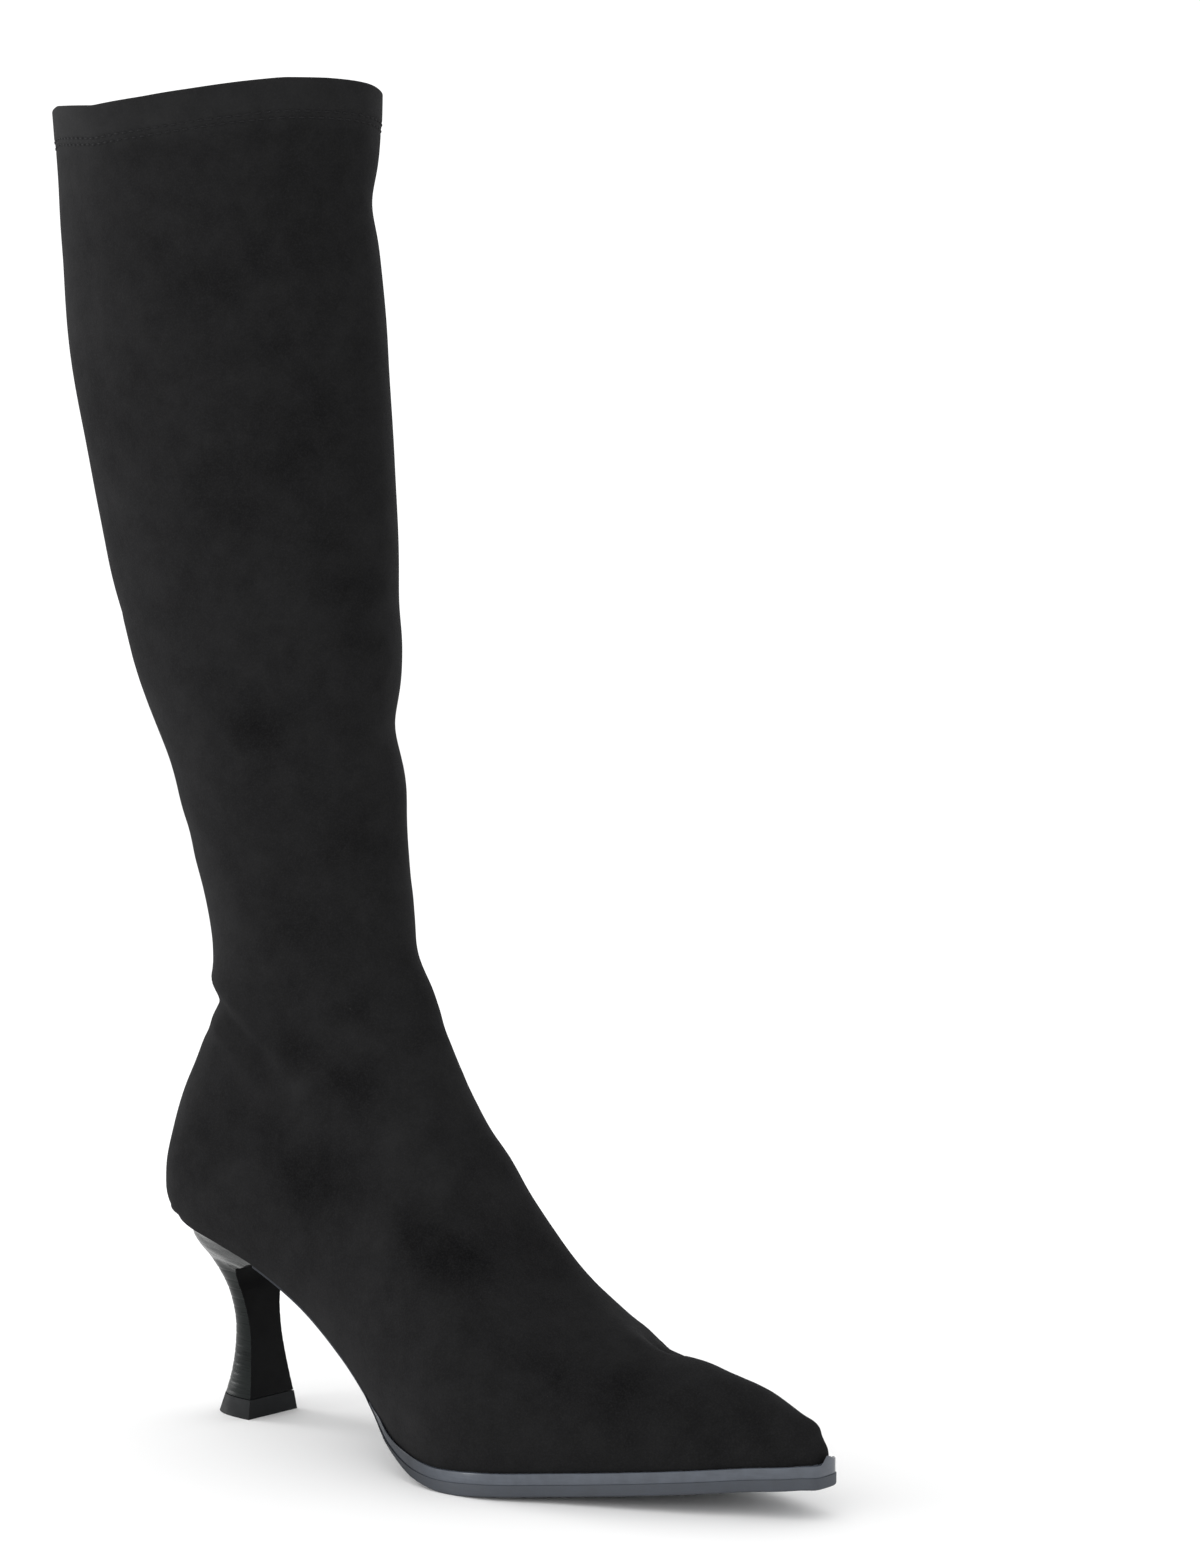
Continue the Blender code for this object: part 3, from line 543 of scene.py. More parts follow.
def new_piece(name, points, faces, node, nap_and_shade=None):
    """A mesh object on the root body, from points in millimetres: doubled points merged, faces
    outward and smooth but for the sharp edges. It replaces a CAD node if one is named, and
    carries the lightness of its nap and of its painted shade and highlights if that is given."""
    mesh = bpy.data.meshes.new(name)
    mesh.from_pydata((np.asarray(points).reshape(-1, 3) * MM).tolist(), [], faces)
    if nap_and_shade is not None:
        mesh.attributes.new("nap_and_shade", "FLOAT", "POINT").data.foreach_set("value", nap_and_shade.ravel())
    shape = bmesh.new()
    shape.from_mesh(mesh)
    bmesh.ops.remove_doubles(shape, verts=shape.verts, dist=DOUBLED * MM)
    bmesh.ops.dissolve_degenerate(shape, edges=shape.edges, dist=DEGENERATE * MM)
    bmesh.ops.recalc_face_normals(shape, faces=shape.faces)
    shape.to_mesh(mesh)
    shape.free()
    mesh.shade_smooth()
    mesh.set_sharp_from_angle(angle=np.radians(SHARP))
    piece = bpy.data.objects.new(name, mesh)
    bpy.context.scene.collection.objects.link(piece)
    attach(piece, "root")
    if node:
        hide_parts(node)
    return piece


def closed_shell(name, face, rim, back, closed_rows, node, nap_and_shade=None):
    """A skin with thickness: the face from toe to collar, over the rim and down its back, closed
    along the two edges at the sole and across the tip of the toe."""
    rows, columns = face.shape[:2]
    points = np.concatenate([face, rim, back[::-1]])
    total = len(points)
    faces = grid_faces(total, columns)
    front = np.arange(columns)
    behind = (total - 1) * columns + front
    faces += ladder_faces(front.tolist()) + ladder_faces(behind.tolist())
    faces.append((int(front[0]), int(front[-1]), int(behind[-1]), int(behind[0])))
    for row in np.flatnonzero(~closed_rows).tolist():
        for column in (0, columns - 1):
            a, b = row * columns + column, (row + 1) * columns + column
            c, d = (total - 2 - row) * columns + column, (total - 1 - row) * columns + column
            faces.append((a, b, c, d))
    if nap_and_shade is not None:
        nap_and_shade = np.concatenate([nap_and_shade, np.repeat(nap_and_shade[-1:], len(rim), axis=0), nap_and_shade[::-1]])
    return new_piece(name, points, faces, node, nap_and_shade=nap_and_shade)


turned_in = smooth_step(-below_collar, -HEM_DEPTH - CUT_EDGE[0], -HEM_DEPTH + CUT_EDGE[1])
thickness = SUEDE + (HEM - SUEDE) * turned_in
suede_upper = closed_shell(
    "suede_upper", suede_face, rim_rings(suede_face, suede_normals, HEM),
    suede_face - suede_normals * thickness[..., None], closed_rows, "upper", nap_and_shade)


def node_group(name, inputs, outputs):
    """An empty shader node group with its sockets. Each input is a name, a type and a value."""
    group = bpy.data.node_groups.new(name, "ShaderNodeTree")
    for label, kind, value in inputs:
        socket = group.interface.new_socket(label, in_out="INPUT", socket_type="NodeSocket" + kind)
        if value is not None:
            socket.default_value = value
    for label, kind in outputs:
        group.interface.new_socket(label, in_out="OUTPUT", socket_type="NodeSocket" + kind)
    return group, group.nodes.new("NodeGroupInput"), group.nodes.new("NodeGroupOutput")


def add_node(tree, kind, settings=(), **inputs):
    """A shader node with its settings and inputs; an input given as a socket is linked."""
    node = tree.nodes.new("ShaderNode" + kind)
    for key, value in dict(settings).items():
        setattr(node, key, value)
    for key, value in inputs.items():
        socket = node.inputs[int(key[1:])] if key[0] == "_" else node.inputs[key.replace("_", " ")]
        if isinstance(value, bpy.types.NodeSocket):
            tree.links.new(value, socket)
        else:
            socket.default_value = value
    return node


def noise(tree, place, size, detail=3.0, roughness=0.55):
    """Noise from 0 to 1 whose features are about a size in millimetres."""
    return add_node(tree, "TexNoise", Vector=place, Scale=1 / (size * MM), Detail=detail,
                    Roughness=roughness).outputs["Fac"]


def spread(tree, value, low, high, bottom=0.0, top=1.0):
    """A value's range from low to high, stretched to bottom to top and cut off there."""
    return add_node(tree, "MapRange", _0=value, _1=low, _2=high, _3=bottom, _4=top).outputs[0]


def mixed(tree, share, first, second):
    """A colour part way from the first to the second."""
    return add_node(tree, "Mix", {"data_type": "RGBA"}, _0=share, _6=first, _7=second).outputs[2]


def weighed(tree, *terms):
    """The sum of values, each times its weight."""
    total = None
    for value, weight in terms:
        part = add_node(tree, "Math", {"operation": "MULTIPLY_ADD"}, _0=value, _1=weight,
                        _2=0.0 if total is None else total)
        total = part.outputs[0]
    return total


def principled(name, **settings):
    """A material, its tree, its Object coordinates and its shader with values set on it."""
    material = bpy.data.materials.new(name)
    material.use_nodes = True
    tree = material.node_tree
    shader = tree.nodes["Principled BSDF"]
    for key, value in settings.items():
        shader.inputs[key.replace("_", " ")].default_value = value
    place = tree.nodes.new("ShaderNodeTexCoord").outputs["Object"]
    return material, tree, place, shader


def finish(tree, shader, colour, roughness=None, height=None, strength=1.0, depth=0.0):
    """Links a shader's colour, its roughness, and its height as a bump of a strength and of a
    depth in millimetres."""
    tree.links.new(colour, shader.inputs["Base Color"])
    if roughness is not None:
        tree.links.new(roughness, shader.inputs["Roughness"])
    if height is not None:
        bump = add_node(tree, "Bump", Height=height, Strength=strength, Distance=depth * MM)
        tree.links.new(bump.outputs["Normal"], shader.inputs["Normal"])


def group_node(tree, group, place, **values):
    """The outputs of a node group at a place, with its other inputs set."""
    node = tree.nodes.new("ShaderNodeGroup")
    node.node_tree = group
    tree.links.new(place, node.inputs["Place"])
    for name, value in values.items():
        node.inputs[name].default_value = value
    return node.outputs


def dust_group():
    """Sparse specks of dust and lint: the heart of a random cell here and there, from 0 to 1."""
    group, inputs, outputs = node_group(
        "dust", (("Place", "Vector", None), ("Density", "Float", 100.0), ("Amount", "Float", 0.06),
                 ("Size", "Float", 0.03)),
        (("Specks", "Float"),))
    cells = add_node(group, "TexVoronoi", Vector=inputs.outputs["Place"],
                     Scale=inputs.outputs["Density"])
    chosen = add_node(group, "Math", {"operation": "LESS_THAN"}, _0=cells.outputs["Color"],
                      _1=inputs.outputs["Amount"])
    heart = spread(group, cells.outputs["Distance"], inputs.outputs["Size"], 0.0)
    speck = add_node(group, "Math", {"operation": "MULTIPLY"}, _0=chosen.outputs[0], _1=heart)
    group.links.new(speck.outputs[0], outputs.inputs["Specks"])
    return group


DUST = dust_group()


SPECK = 0.3


def add_dust(tree, place, spacing, amount):
    """The dust group's specks: their spacing, and the share of places with one."""
    return group_node(tree, DUST, place, Density=1 / (spacing * MM), Amount=amount,
                      Size=SPECK / spacing)["Specks"]


def suede_material():
    """Black suede: soft patches where the nap was stroked, patches of painted shade and painted
    highlights, short fibres, and a little lint.
    """
    material, tree, place, shader = principled(
        "black stretch suede", Specular_IOR_Level=0.02, Sheen_Weight=0.02, Sheen_Roughness=0.5,
        Sheen_Tint=(0.95, 0.95, 1, 1))
    # The nap with the painted shade and painted highlights, laid on the mesh
    nap_and_shade_patches = add_node(tree, "Attribute", {"attribute_name": "nap_and_shade"}).outputs["Fac"]
    stroked = noise(tree, place, 46, 4, 0.62)
    marks = noise(tree, place, 9, 4, 0.6)
    fibres = noise(tree, place, 0.55, 4, 0.7)
    pile = noise(tree, place, 1.7, 3, 0.6)
    tone = weighed(tree, (nap_and_shade_patches, 0.38), (stroked, 0.7), (marks, 0.7), (pile, 0.25))
    nap_and_shade = spread(tree, tone, 0.32, 1.32)
    colour = mixed(tree, nap_and_shade, (0.0044, 0.0044, 0.0046, 1), (0.0165, 0.0165, 0.0169, 1))
    colour = mixed(tree, spread(tree, fibres, 0.45, 0.75, 0, 0.3), colour, (0.028, 0.028, 0.029, 1))
    colour = mixed(tree, add_dust(tree, place, 9, 0.05), colour, (0.13, 0.13, 0.13, 1))
    height = weighed(tree, (fibres, 0.5), (pile, 0.35), (marks, 0.6))
    finish(tree, shader, colour, spread(tree, nap_and_shade, 0, 1, 0.98, 0.86), height, 0.55, 0.35)
    return material


suede_upper.data.materials.append(suede_material())


# ---- Stitching of the collar ---------------------------------------------------------------
# Two rows of black polyester thread hold the turned-in collar down, three stitches to the
# centimetre. Each stitch sinks into the suede at its ends.

THREAD = 0.26              # radius
STITCH_LENGTH = 2.3
STITCH_PITCH = 3.1
STITCH_SINK = 0.35         # how far its ends lie under the suede's face, in radii
STITCH_RINGS, STITCH_SIDES = 9, 8


def collar_path(below):
    """The closed line round the suede's face at a distance below the collar, and its normals."""
    columns = range(suede_face.shape[1] - 1)
    share = [np.interp(-below, -below_collar[:, c], np.arange(len(below_collar))) for c in columns]
    lower = np.floor(share).astype(int)
    part = (share - lower)[:, None]
    return (values[lower, columns] * (1 - part) + values[lower + 1, columns] * part
            for values in (suede_face, suede_normals))


def stitches(path, normals):
    """Points of a row of stitches along a closed path, each a grid of rings: a round thread whose
    radius and lift fall to nothing at its ends as a power of the way along."""
    path, normals = (np.vstack([values, values[:1]]) for values in (path, normals))
    travelled = np.append(0, np.cumsum(np.linalg.norm(np.diff(path, axis=0), axis=1)))
    count = round(travelled[-1] / STITCH_PITCH)
    stops = (np.arange(count) + 0.5) / count * travelled[-1]
    along = np.linspace(-0.5, 0.5, STITCH_RINGS)
    at = (stops[:, None] + along * STITCH_LENGTH).ravel()
    centre = np.stack([np.interp(at, travelled, values) for values in path.T], axis=-1)
    up = np.stack([np.interp(at, travelled, values) for values in normals.T], axis=-1)
    centre, up = (values.reshape(count, STITCH_RINGS, 1, 3) for values in (centre, up))
    forward = centre[:, -1:] - centre[:, :1]
    side = np.cross(forward, up)
    side /= np.linalg.norm(side, axis=-1, keepdims=True)
    full = np.sqrt(np.clip(1 - np.abs(2 * along) ** 4, 0, 1))[None, :, None, None]
    arch = (1 - (2 * along) ** 2)[None, :, None, None]
    turn = np.linspace(0, 2 * np.pi, STITCH_SIDES + 1)[:-1][None, None, :, None]
    return (centre + up * THREAD * (arch - STITCH_SINK)
            + THREAD * full * (up * np.sin(turn) + side * np.cos(turn)))


thread_points = np.concatenate([stitches(*collar_path(below)) for below in STITCH_ROWS])
one_stitch = np.array(grid_faces(STITCH_RINGS, STITCH_SIDES, closed=True))
first_points = np.arange(len(thread_points))[:, None, None] * STITCH_RINGS * STITCH_SIDES
thread_faces = (one_stitch + first_points).reshape(-1, 4)
hem_stitches = new_piece("hem_stitches", thread_points, thread_faces.tolist(), None)


def thread_material():
    """Matt black thread, twisted: fine slanting ridges."""
    material, tree, place, shader = principled(
        "black polyester thread", Roughness=0.7, Specular_IOR_Level=0.05)
    twist = noise(tree, place, 0.25, 2)
    colour = mixed(tree, twist, (0.010, 0.010, 0.0105, 1), (0.022, 0.022, 0.023, 1))
    finish(tree, shader, colour, height=twist, strength=0.4, depth=0.1)
    return material


hem_stitches.data.materials.append(thread_material())


# ---- Lining --------------------------------------------------------------------------------
# Tan knitted lining, cemented to the back of the suede. Its top edge is caught under the
# turned-in collar, and its foot ends under the insole.

LINING_DEPTHS = (0.95, 1.6)    # its outer and inner face, behind the suede's face
LINING_OVERLAP = 2.2       # how far it is caught under the hem's cut edge
BRIDGED = 2                # rows and columns each way over which it bridges a crease
BRIDGE_FADE = (8, 2)       # below the cut edge it comes to follow the suede between these

# The lining bridges the narrow creases: it follows the lowest lift round each point
reach = 2 * BRIDGED + 1
windows = np.lib.stride_tricks.sliding_window_view(
    np.pad(lift, BRIDGED, mode="edge"), (reach, reach))
near_hem = smooth_step(-below_collar, *(-HEM_DEPTH - below for below in BRIDGE_FADE))
bridged = windows.min(axis=(2, 3)) * (1 - near_hem) + lift * near_hem
lining_base = plain + upper_normals * bridged[..., None]
# and stops short of the suede's edge at the sole
for edge_column, next_column in ((0, 1), (-1, -2)):
    at_edge, beside = lining_base[~closed_rows, edge_column], lining_base[~closed_rows, next_column]
    lining_base[~closed_rows, edge_column] = (at_edge + beside) / 2
kept = np.unique(np.append(np.arange(0, len(plain), 2), len(plain) - 1))
kept = kept[below_collar[kept].min(axis=1) > HEM_DEPTH - LINING_OVERLAP]
lining_base, lining_normals = lining_base[kept][:, ::2], upper_normals[kept][:, ::2]
outer_skin, inner_skin = (lining_base - lining_normals * depth for depth in LINING_DEPTHS)
knit_lining = closed_shell("knit_lining", outer_skin, outer_skin[:0], inner_skin,
                           closed_rows[kept], None)


def lining_material():
    """Tan knit: rows of small loops up the leg, a little uneven in colour."""
    material, tree, place, shader = principled("tan knit lining", Sheen_Weight=0.15)
    across = add_node(tree, "TexWave", {"bands_direction": "Z"}, Vector=place, Scale=1 / (6.4 * MM),
                      Distortion=1.2, Detail=1.0, Detail_Scale=1.6).outputs["Fac"]
    loops = add_node(tree, "TexVoronoi", Vector=place, Scale=1 / (0.9 * MM)).outputs["Distance"]
    mottle = noise(tree, place, 30)
    height = weighed(tree, (across, 0.5), (loops, 0.5))
    colour = mixed(tree, height, (0.34, 0.23, 0.14, 1), (0.50, 0.36, 0.24, 1))
    colour = mixed(tree, spread(tree, mottle, 0.35, 0.7, 0, 0.35), colour, (0.30, 0.21, 0.14, 1))
    finish(tree, shader, colour, spread(tree, mottle, 0.3, 0.7, 0.8, 0.95), height, 0.6, 0.3)
    return material


knit_lining.data.materials.append(lining_material())


# ---- Insole --------------------------------------------------------------------------------
# A board under the whole foot with a tan leather sock cemented on it. The upper's edges are
# pulled in under the board.

INSOLE_THICKNESS = 2.2
INSOLE_RISE = 0.45         # its underside, over the suede's edge
INSOLE_INSETS = ((-10, 5.0), (20, 2.4))    # x, and how far it lies inside the upper's edge
INSOLE_TOE = 224.5
INSOLE_CORNERS = (0.7, 0.7)    # radii at the top and the bottom
SOLE_STATION = 1.0         # between the stations of the sole line
TIP_STATIONS = 8
SQUARE_TIP = 0.6           # power of the tip's roundness in plan; 1 is an ellipse
POINT_WIDTH = 0.1          # an end narrower than this is drawn to a point
CORNER_STEPS = 5           # points round each corner of a layer's side
FLAT_SIDE = 0.45           # a corner takes at most this share of the layer's thickness
LIP_SHARE = 0.3            # a lip takes at most this share of the layer's width


def sole_line():
    """Where the upper meets the sole, from the tip to the back of the seat: x, outer y, inner y
    and z. The tip itself is closed by a squarish half ellipse."""
    column = dict(zip(SHAPE, rows_between(TABLE, spaced_rows(((SEAT, SOLE_STATION),))).T))
    outer = column["middle"] - np.clip(column["sole_out"], 0, None)
    inner = column["middle"] + np.clip(column["sole_in"], 0, None)
    line = np.column_stack([column["back_x"], outer, inner, column["back_z"]])
    turn = np.linspace(np.pi / 2, 0, TIP_STATIONS + 1)[:-1, None]
    middle = (line[0, 1] + line[0, 2]) / 2
    ahead = line[0] + (TIP_BULGE, 0, 0, 0) * np.sin(turn)
    ahead[:, 1:3] = middle + (line[0, 1:3] - middle) * np.cos(turn) ** SQUARE_TIP
    return np.vstack([ahead, line])


def with_station(line, x):
    """The sole line with one more station, at x."""
    station = [np.interp(x, line[::-1, 0], values) for values in line[::-1].T]
    ahead = line[:, 0] > x
    return np.vstack([line[ahead], station, line[~ahead & (line[:, 0] < x)]])


def cut_square(line, end):
    """Whether an end of the sole line is cut off square, and not drawn to a point."""
    return abs(line[end, 1] - line[end, 2]) > POINT_WIDTH


def side_offsets(line):
    """The two sides of the sole line in plan, outer then inner, and their outward normals. Each
    is carried past a pointed end by its mirror image, so that the end faces ahead or back, and
    straight on past an end that is cut off square."""
    sides = []
    for sign, y in ((-1, line[:, 1]), (1, line[:, 2])):
        ends = [(line[1, 0], 2 * y[0] - y[1]), (line[-2, 0], 2 * y[-1] - y[-2])]
        for end, beside in ((0, 1), (-1, -2)):
            if cut_square(line, end):
                ends[end] = (2 * line[end, 0] - line[beside, 0], 2 * y[end] - y[beside])
        path = np.vstack([ends[0], np.column_stack([line[:, 0], y]), ends[1]])
        along = path[2:] - path[:-2]
        along /= np.linalg.norm(along, axis=1, keepdims=True)
        sides.append((path[1:-1], sign * along[:, ::-1] * (1, -1)))
    return sides


def sole_height(x):
    """Height of the line where the upper meets the sole."""
    return np.interp(x, SOLE_LINE[::-1, 0], SOLE_LINE[::-1, 3])


SOLE_LINE = sole_line()


def sole_body(name, front, back, edge, top, bottom, corners, node, across=24, tread=None,
              lip=None, lip_width=0.0):
    """A layer of the sole: a section at every station of the sole line, from the outer edge over
    the top to the inner edge and back under. Its sides stand out by edge(x) and are rounded
    by quarter circles of two corner radii, into the top and the bottom, which are heights worked
    out from x. A lip lifts the rim of the top over a width, and a tread the bottom's points."""
    line = with_station(with_station(SOLE_LINE, front), back)
    line = line[(line[:, 0] <= front) & (line[:, 0] >= back)]
    (outer, outer_normal), (inner, inner_normal) = side_offsets(line)
    x = line[:, 0]
    high, low = top(x), bottom(x)
    top_corner, bottom_corner = (np.minimum(radius, (high - low) * FLAT_SIDE) for radius in corners)
    turn = np.linspace(0, np.pi / 2, CORNER_STEPS)
    half = len(turn) - 1

    def side(points, normal):
        """The side's points, from the rim down to the bottom edge."""
        rim = high if lip is None else high + lip(points)
        levels = [(top_corner * (1 - np.sin(a)), rim - top_corner * (1 - np.cos(a))) for a in turn]
        levels += [(bottom_corner * (1 - np.sin(a)), low + bottom_corner * (1 - np.cos(a)))
                   for a in turn[::-1]]
        return np.stack([np.column_stack([points + normal * (edge(x) - inset)[:, None], z])
                         for inset, z in levels], axis=1)

    outer_side, inner_side = side(outer, outer_normal), side(inner, inner_normal)
    share = np.linspace(0, 1, across + 1)[None, 1:-1, None]
    under = inner_side[:, -1:] * (1 - share) + outer_side[:, -1:] * share
    if lip is not None:    # the first point in from each side is the foot of the lip
        width = np.linalg.norm(inner - outer, axis=1)[:, None, None] + 2 * edge(x)[:, None, None]
        inset = np.minimum(lip_width / width, LIP_SHARE)
        share = inset + (1 - 2 * inset) * np.linspace(0, 1, across - 1)[None, :, None]
    over = outer_side[:, :1] * (1 - share) + inner_side[:, :1] * share
    over[..., 2] = high[:, None]
    if tread is not None:
        under[..., 2] += tread(under, outer_side[:, -1:], inner_side[:, -1:])
    ring = np.concatenate(
        [outer_side[:, half::-1], over, inner_side, under, outer_side[:, :half:-1]], axis=1)
    rows, columns = ring.shape[:2]
    faces = grid_faces(rows, columns, closed=True)
    for row in (0, rows - 1):
        if cut_square(line, row):
            faces += ladder_faces(list(range(row * columns, (row + 1) * columns)))
    return new_piece(name, ring, faces, node)


def insole_edge(x):
    """How far the insole stands out past the upper's edge: less than nothing, so inside it."""
    return -np.interp(x, *np.array(INSOLE_INSETS).T)


def insole_top(x):
    """Height of its upper face: the sole line's height and the insole's thickness."""
    return sole_height(x) + INSOLE_THICKNESS


def insole_bottom(x):
    """Height of its underside: the sole line's height and a little over the suede's edge."""
    return sole_height(x) + INSOLE_RISE


insole_sock = sole_body(
    "insole_sock", INSOLE_TOE, SOLE_LINE[-1, 0], insole_edge, insole_top, insole_bottom,
    INSOLE_CORNERS, "insole")


def grain_group():
    """Fine grain: two sizes of noise as a height, and the larger one as a mask."""
    group, inputs, outputs = node_group(
        "grain", (("Place", "Vector", None), ("Density", "Float", 1000.0)),
        (("Height", "Float"), ("Mask", "Float")))
    place, density = inputs.outputs["Place"], inputs.outputs["Density"]
    fine = add_node(group, "TexNoise", Vector=place, Scale=density, Detail=3.0, Roughness=0.6)
    tenth = add_node(group, "Math", {"operation": "MULTIPLY"}, _0=density, _1=0.12)
    broad = add_node(group, "TexNoise", Vector=place, Scale=tenth.outputs[0], Detail=3.0)
    height = weighed(group, (fine.outputs["Fac"], 0.6), (broad.outputs["Fac"], 0.4))
    group.links.new(height, outputs.inputs["Height"])
    group.links.new(spread(group, broad.outputs["Fac"], 0.3, 0.7), outputs.inputs["Mask"])
    return group


GRAIN = grain_group()


def add_grain(tree, place, size):
    """The grain group's height and mask, with features of about a size in millimetres."""
    outputs = group_node(tree, GRAIN, place, Density=1 / (size * MM))
    return outputs["Height"], outputs["Mask"]


def leather_sock_material():
    """Tan leather with a fine grain, darker where it is handled."""
    material, tree, place, shader = principled("tan leather sock", Specular_IOR_Level=0.4)
    height, mask = add_grain(tree, place, 0.8)
    colour = mixed(tree, mask, (0.36, 0.22, 0.12, 1), (0.47, 0.30, 0.17, 1))
    finish(tree, shader, colour, spread(tree, mask, 0, 1, 0.5, 0.7), height, 0.4, 0.2)
    return material


insole_sock.data.materials.append(leather_sock_material())


# ---- Sole edge -----------------------------------------------------------------------------
# Two layers show round the forefoot: a glossy moulded welt and, under it, a matt rubber outsole
# that runs back up the waist to the heel's breast as a thin sheet. They are cemented together.

WELT_PROUD = 1.3           # how far it stands out past the upper
WELT_BACK = 82.0           # where it runs out at the waist
WELT_CORNERS = (0.3, 0.03)     # radii at the top and the bottom
OUTSOLE_PROUD = 1.6
OUTSOLE_BACK = 25.1
OUTSOLE_CORNERS = (0.03, 0.8)
WAIST_TO_BALL = (79.0, 94.0)   # where the layers come out from flush
TIP_PROUD = 0.7            # how much further the layers stand out at the tip of the toe
TIP_START = 223.0
GAP = 0.3                  # between the upper and the layer or heel under it
UNDER_WELT = 0.45          # between welt and outsole where the welt runs out
UNDER_WELT_START = (78.0, 81.0)
CLOSED_JOINT = 0.95        # the share of it that is closed towards the ball
CLOSING = (84.0, 102.0)
# How high the welt laps up the suede, between which x it rises and between which it falls
BEND_LIP = (1.3, (84.0, 91.0), (104.0, 122.0))
# and at the tip: its height, between which distances from the tip it rises ahead and inward,
# and the share of it that is lost again further in
TIP_LIP = (2.8, (-4.0, -0.3), (-2.8, 0.8))
TIP_LIP_LOSS = (0.6, (0.0, 4.0))
LIP_WIDTH = 2.2
# x, thickness of both layers together, and of the welt's share of it
SOLE_LAYERS = np.array((
    (24.0, 1.2, 0.0),
    (64.0, 1.4, 0.0),
    (82.0, 1.6, 0.4),
    (88.0, 1.6, 0.7),
    (93.0, 1.9, 0.8),
    (98.0, 2.8, 1.1),
    (104.0, 4.3, 1.8),
    (110.0, 5.7, 2.5),
    (116.0, 6.6, 3.0),
    (122.0, 7.3, 3.3),
    (128.0, 7.7, 3.4),
    (142.0, 7.4, 3.4),
    (230.0, 7.4, 3.4),
))
TREAD_PITCH = 4.2
TREAD_DEPTH = 0.5
TREAD_BORDER = 7.0
TREAD_REACH = (116.0, 212.0)
TREAD_FADE = 1.0           # over which the grooves grow to full depth
TREAD_STEEPNESS = 3.0      # of the grooves' sides


def welt_top(x):
    """Height of the welt's upper face: a gap under the sole line."""
    return sole_height(x) - GAP


def welt_bottom(x):
    """Height of the welt's underside: its upper face less its thickness in the table."""
    return welt_top(x) - np.interp(x, SOLE_LAYERS[:, 0], SOLE_LAYERS[:, 2])


def outsole_top(x):
    """Height of the outsole's upper face: the welt's underside, less a gap that opens where the
    welt runs out and closes again towards the ball."""
    under_welt = np.interp(x, UNDER_WELT_START, (0, UNDER_WELT))
    return welt_bottom(x) - under_welt * (1 - CLOSED_JOINT * smooth_step(x, *CLOSING))


def ground(x):
    """Height of the outsole's underside: the sole line less both layers, but not below 0."""
    return np.maximum(sole_height(x) - np.interp(x, SOLE_LAYERS[:, 0], SOLE_LAYERS[:, 1]), 0)


def proud(x, most):
    """How far a layer stands out past the upper: from nothing at the waist to its most at the
    ball, and further at the tip."""
    return (np.interp(x, WAIST_TO_BALL, (0, most))
            + TIP_PROUD * smooth_step(x, TIP_START, SOLE_LINE[0, 0] - 1))


def welt_lip(points):
    """How far the welt's rim is turned up against the suede: where it bends up to the waist, and
    at the inner half of the tip."""
    x, y = points.T
    rise, start, end = BEND_LIP
    tip_rise, tip_ahead, tip_inward = TIP_LIP
    loss, losing = TIP_LIP_LOSS
    ahead, inward = x - SOLE_LINE[0, 0], y - SOLE_LINE[0, 1]
    return (rise * smooth_step(x, *start) * (1 - smooth_step(x, *end))
            + tip_rise * smooth_step(ahead, *tip_ahead) * smooth_step(inward, *tip_inward)
            * (1 - loss * smooth_step(inward, *losing)))


def tread(under, outer_edge, inner_edge):
    """Shallow grooves across the forefoot, a rounded square wave along x, inside a border."""
    x = under[..., 0]
    inside = smooth_step(np.minimum(np.linalg.norm(under - outer_edge, axis=-1),
                                    np.linalg.norm(under - inner_edge, axis=-1)),
                         TREAD_BORDER - TREAD_FADE, TREAD_BORDER)
    inside *= smooth_step(x, TREAD_REACH[0], TREAD_REACH[0] + TREAD_FADE)
    inside *= smooth_step(-x, -TREAD_REACH[1], -TREAD_REACH[1] + TREAD_FADE)
    wave = 0.5 + 0.5 * np.tanh(TREAD_STEEPNESS * np.sin(2 * np.pi * x / TREAD_PITCH))
    return TREAD_DEPTH * inside * wave


welt_band = sole_body(
    "welt_band", SOLE_LINE[0, 0], WELT_BACK, lambda x: proud(x, WELT_PROUD), welt_top, welt_bottom,
    WELT_CORNERS, "welt", across=10, lip=welt_lip, lip_width=LIP_WIDTH)
rubber_outsole = sole_body(
    "rubber_outsole", SOLE_LINE[0, 0], OUTSOLE_BACK, lambda x: proud(x, OUTSOLE_PROUD),
    outsole_top, ground, OUTSOLE_CORNERS, "outsole", across=40, tread=tread)


PAINTED_SHADE_WAIST = (108.0, 128.0)   # the painted shade on the sole edge thins out between these places


def stretched_noise(tree, place, squeeze, size, detail, roughness=0.55):
    """Noise drawn out level, as fine lines: its place scaled along x, y and z."""
    stretched = add_node(tree, "Mapping", _0=place, _3=squeeze).outputs[0]
    return noise(tree, stretched, size, detail, roughness)


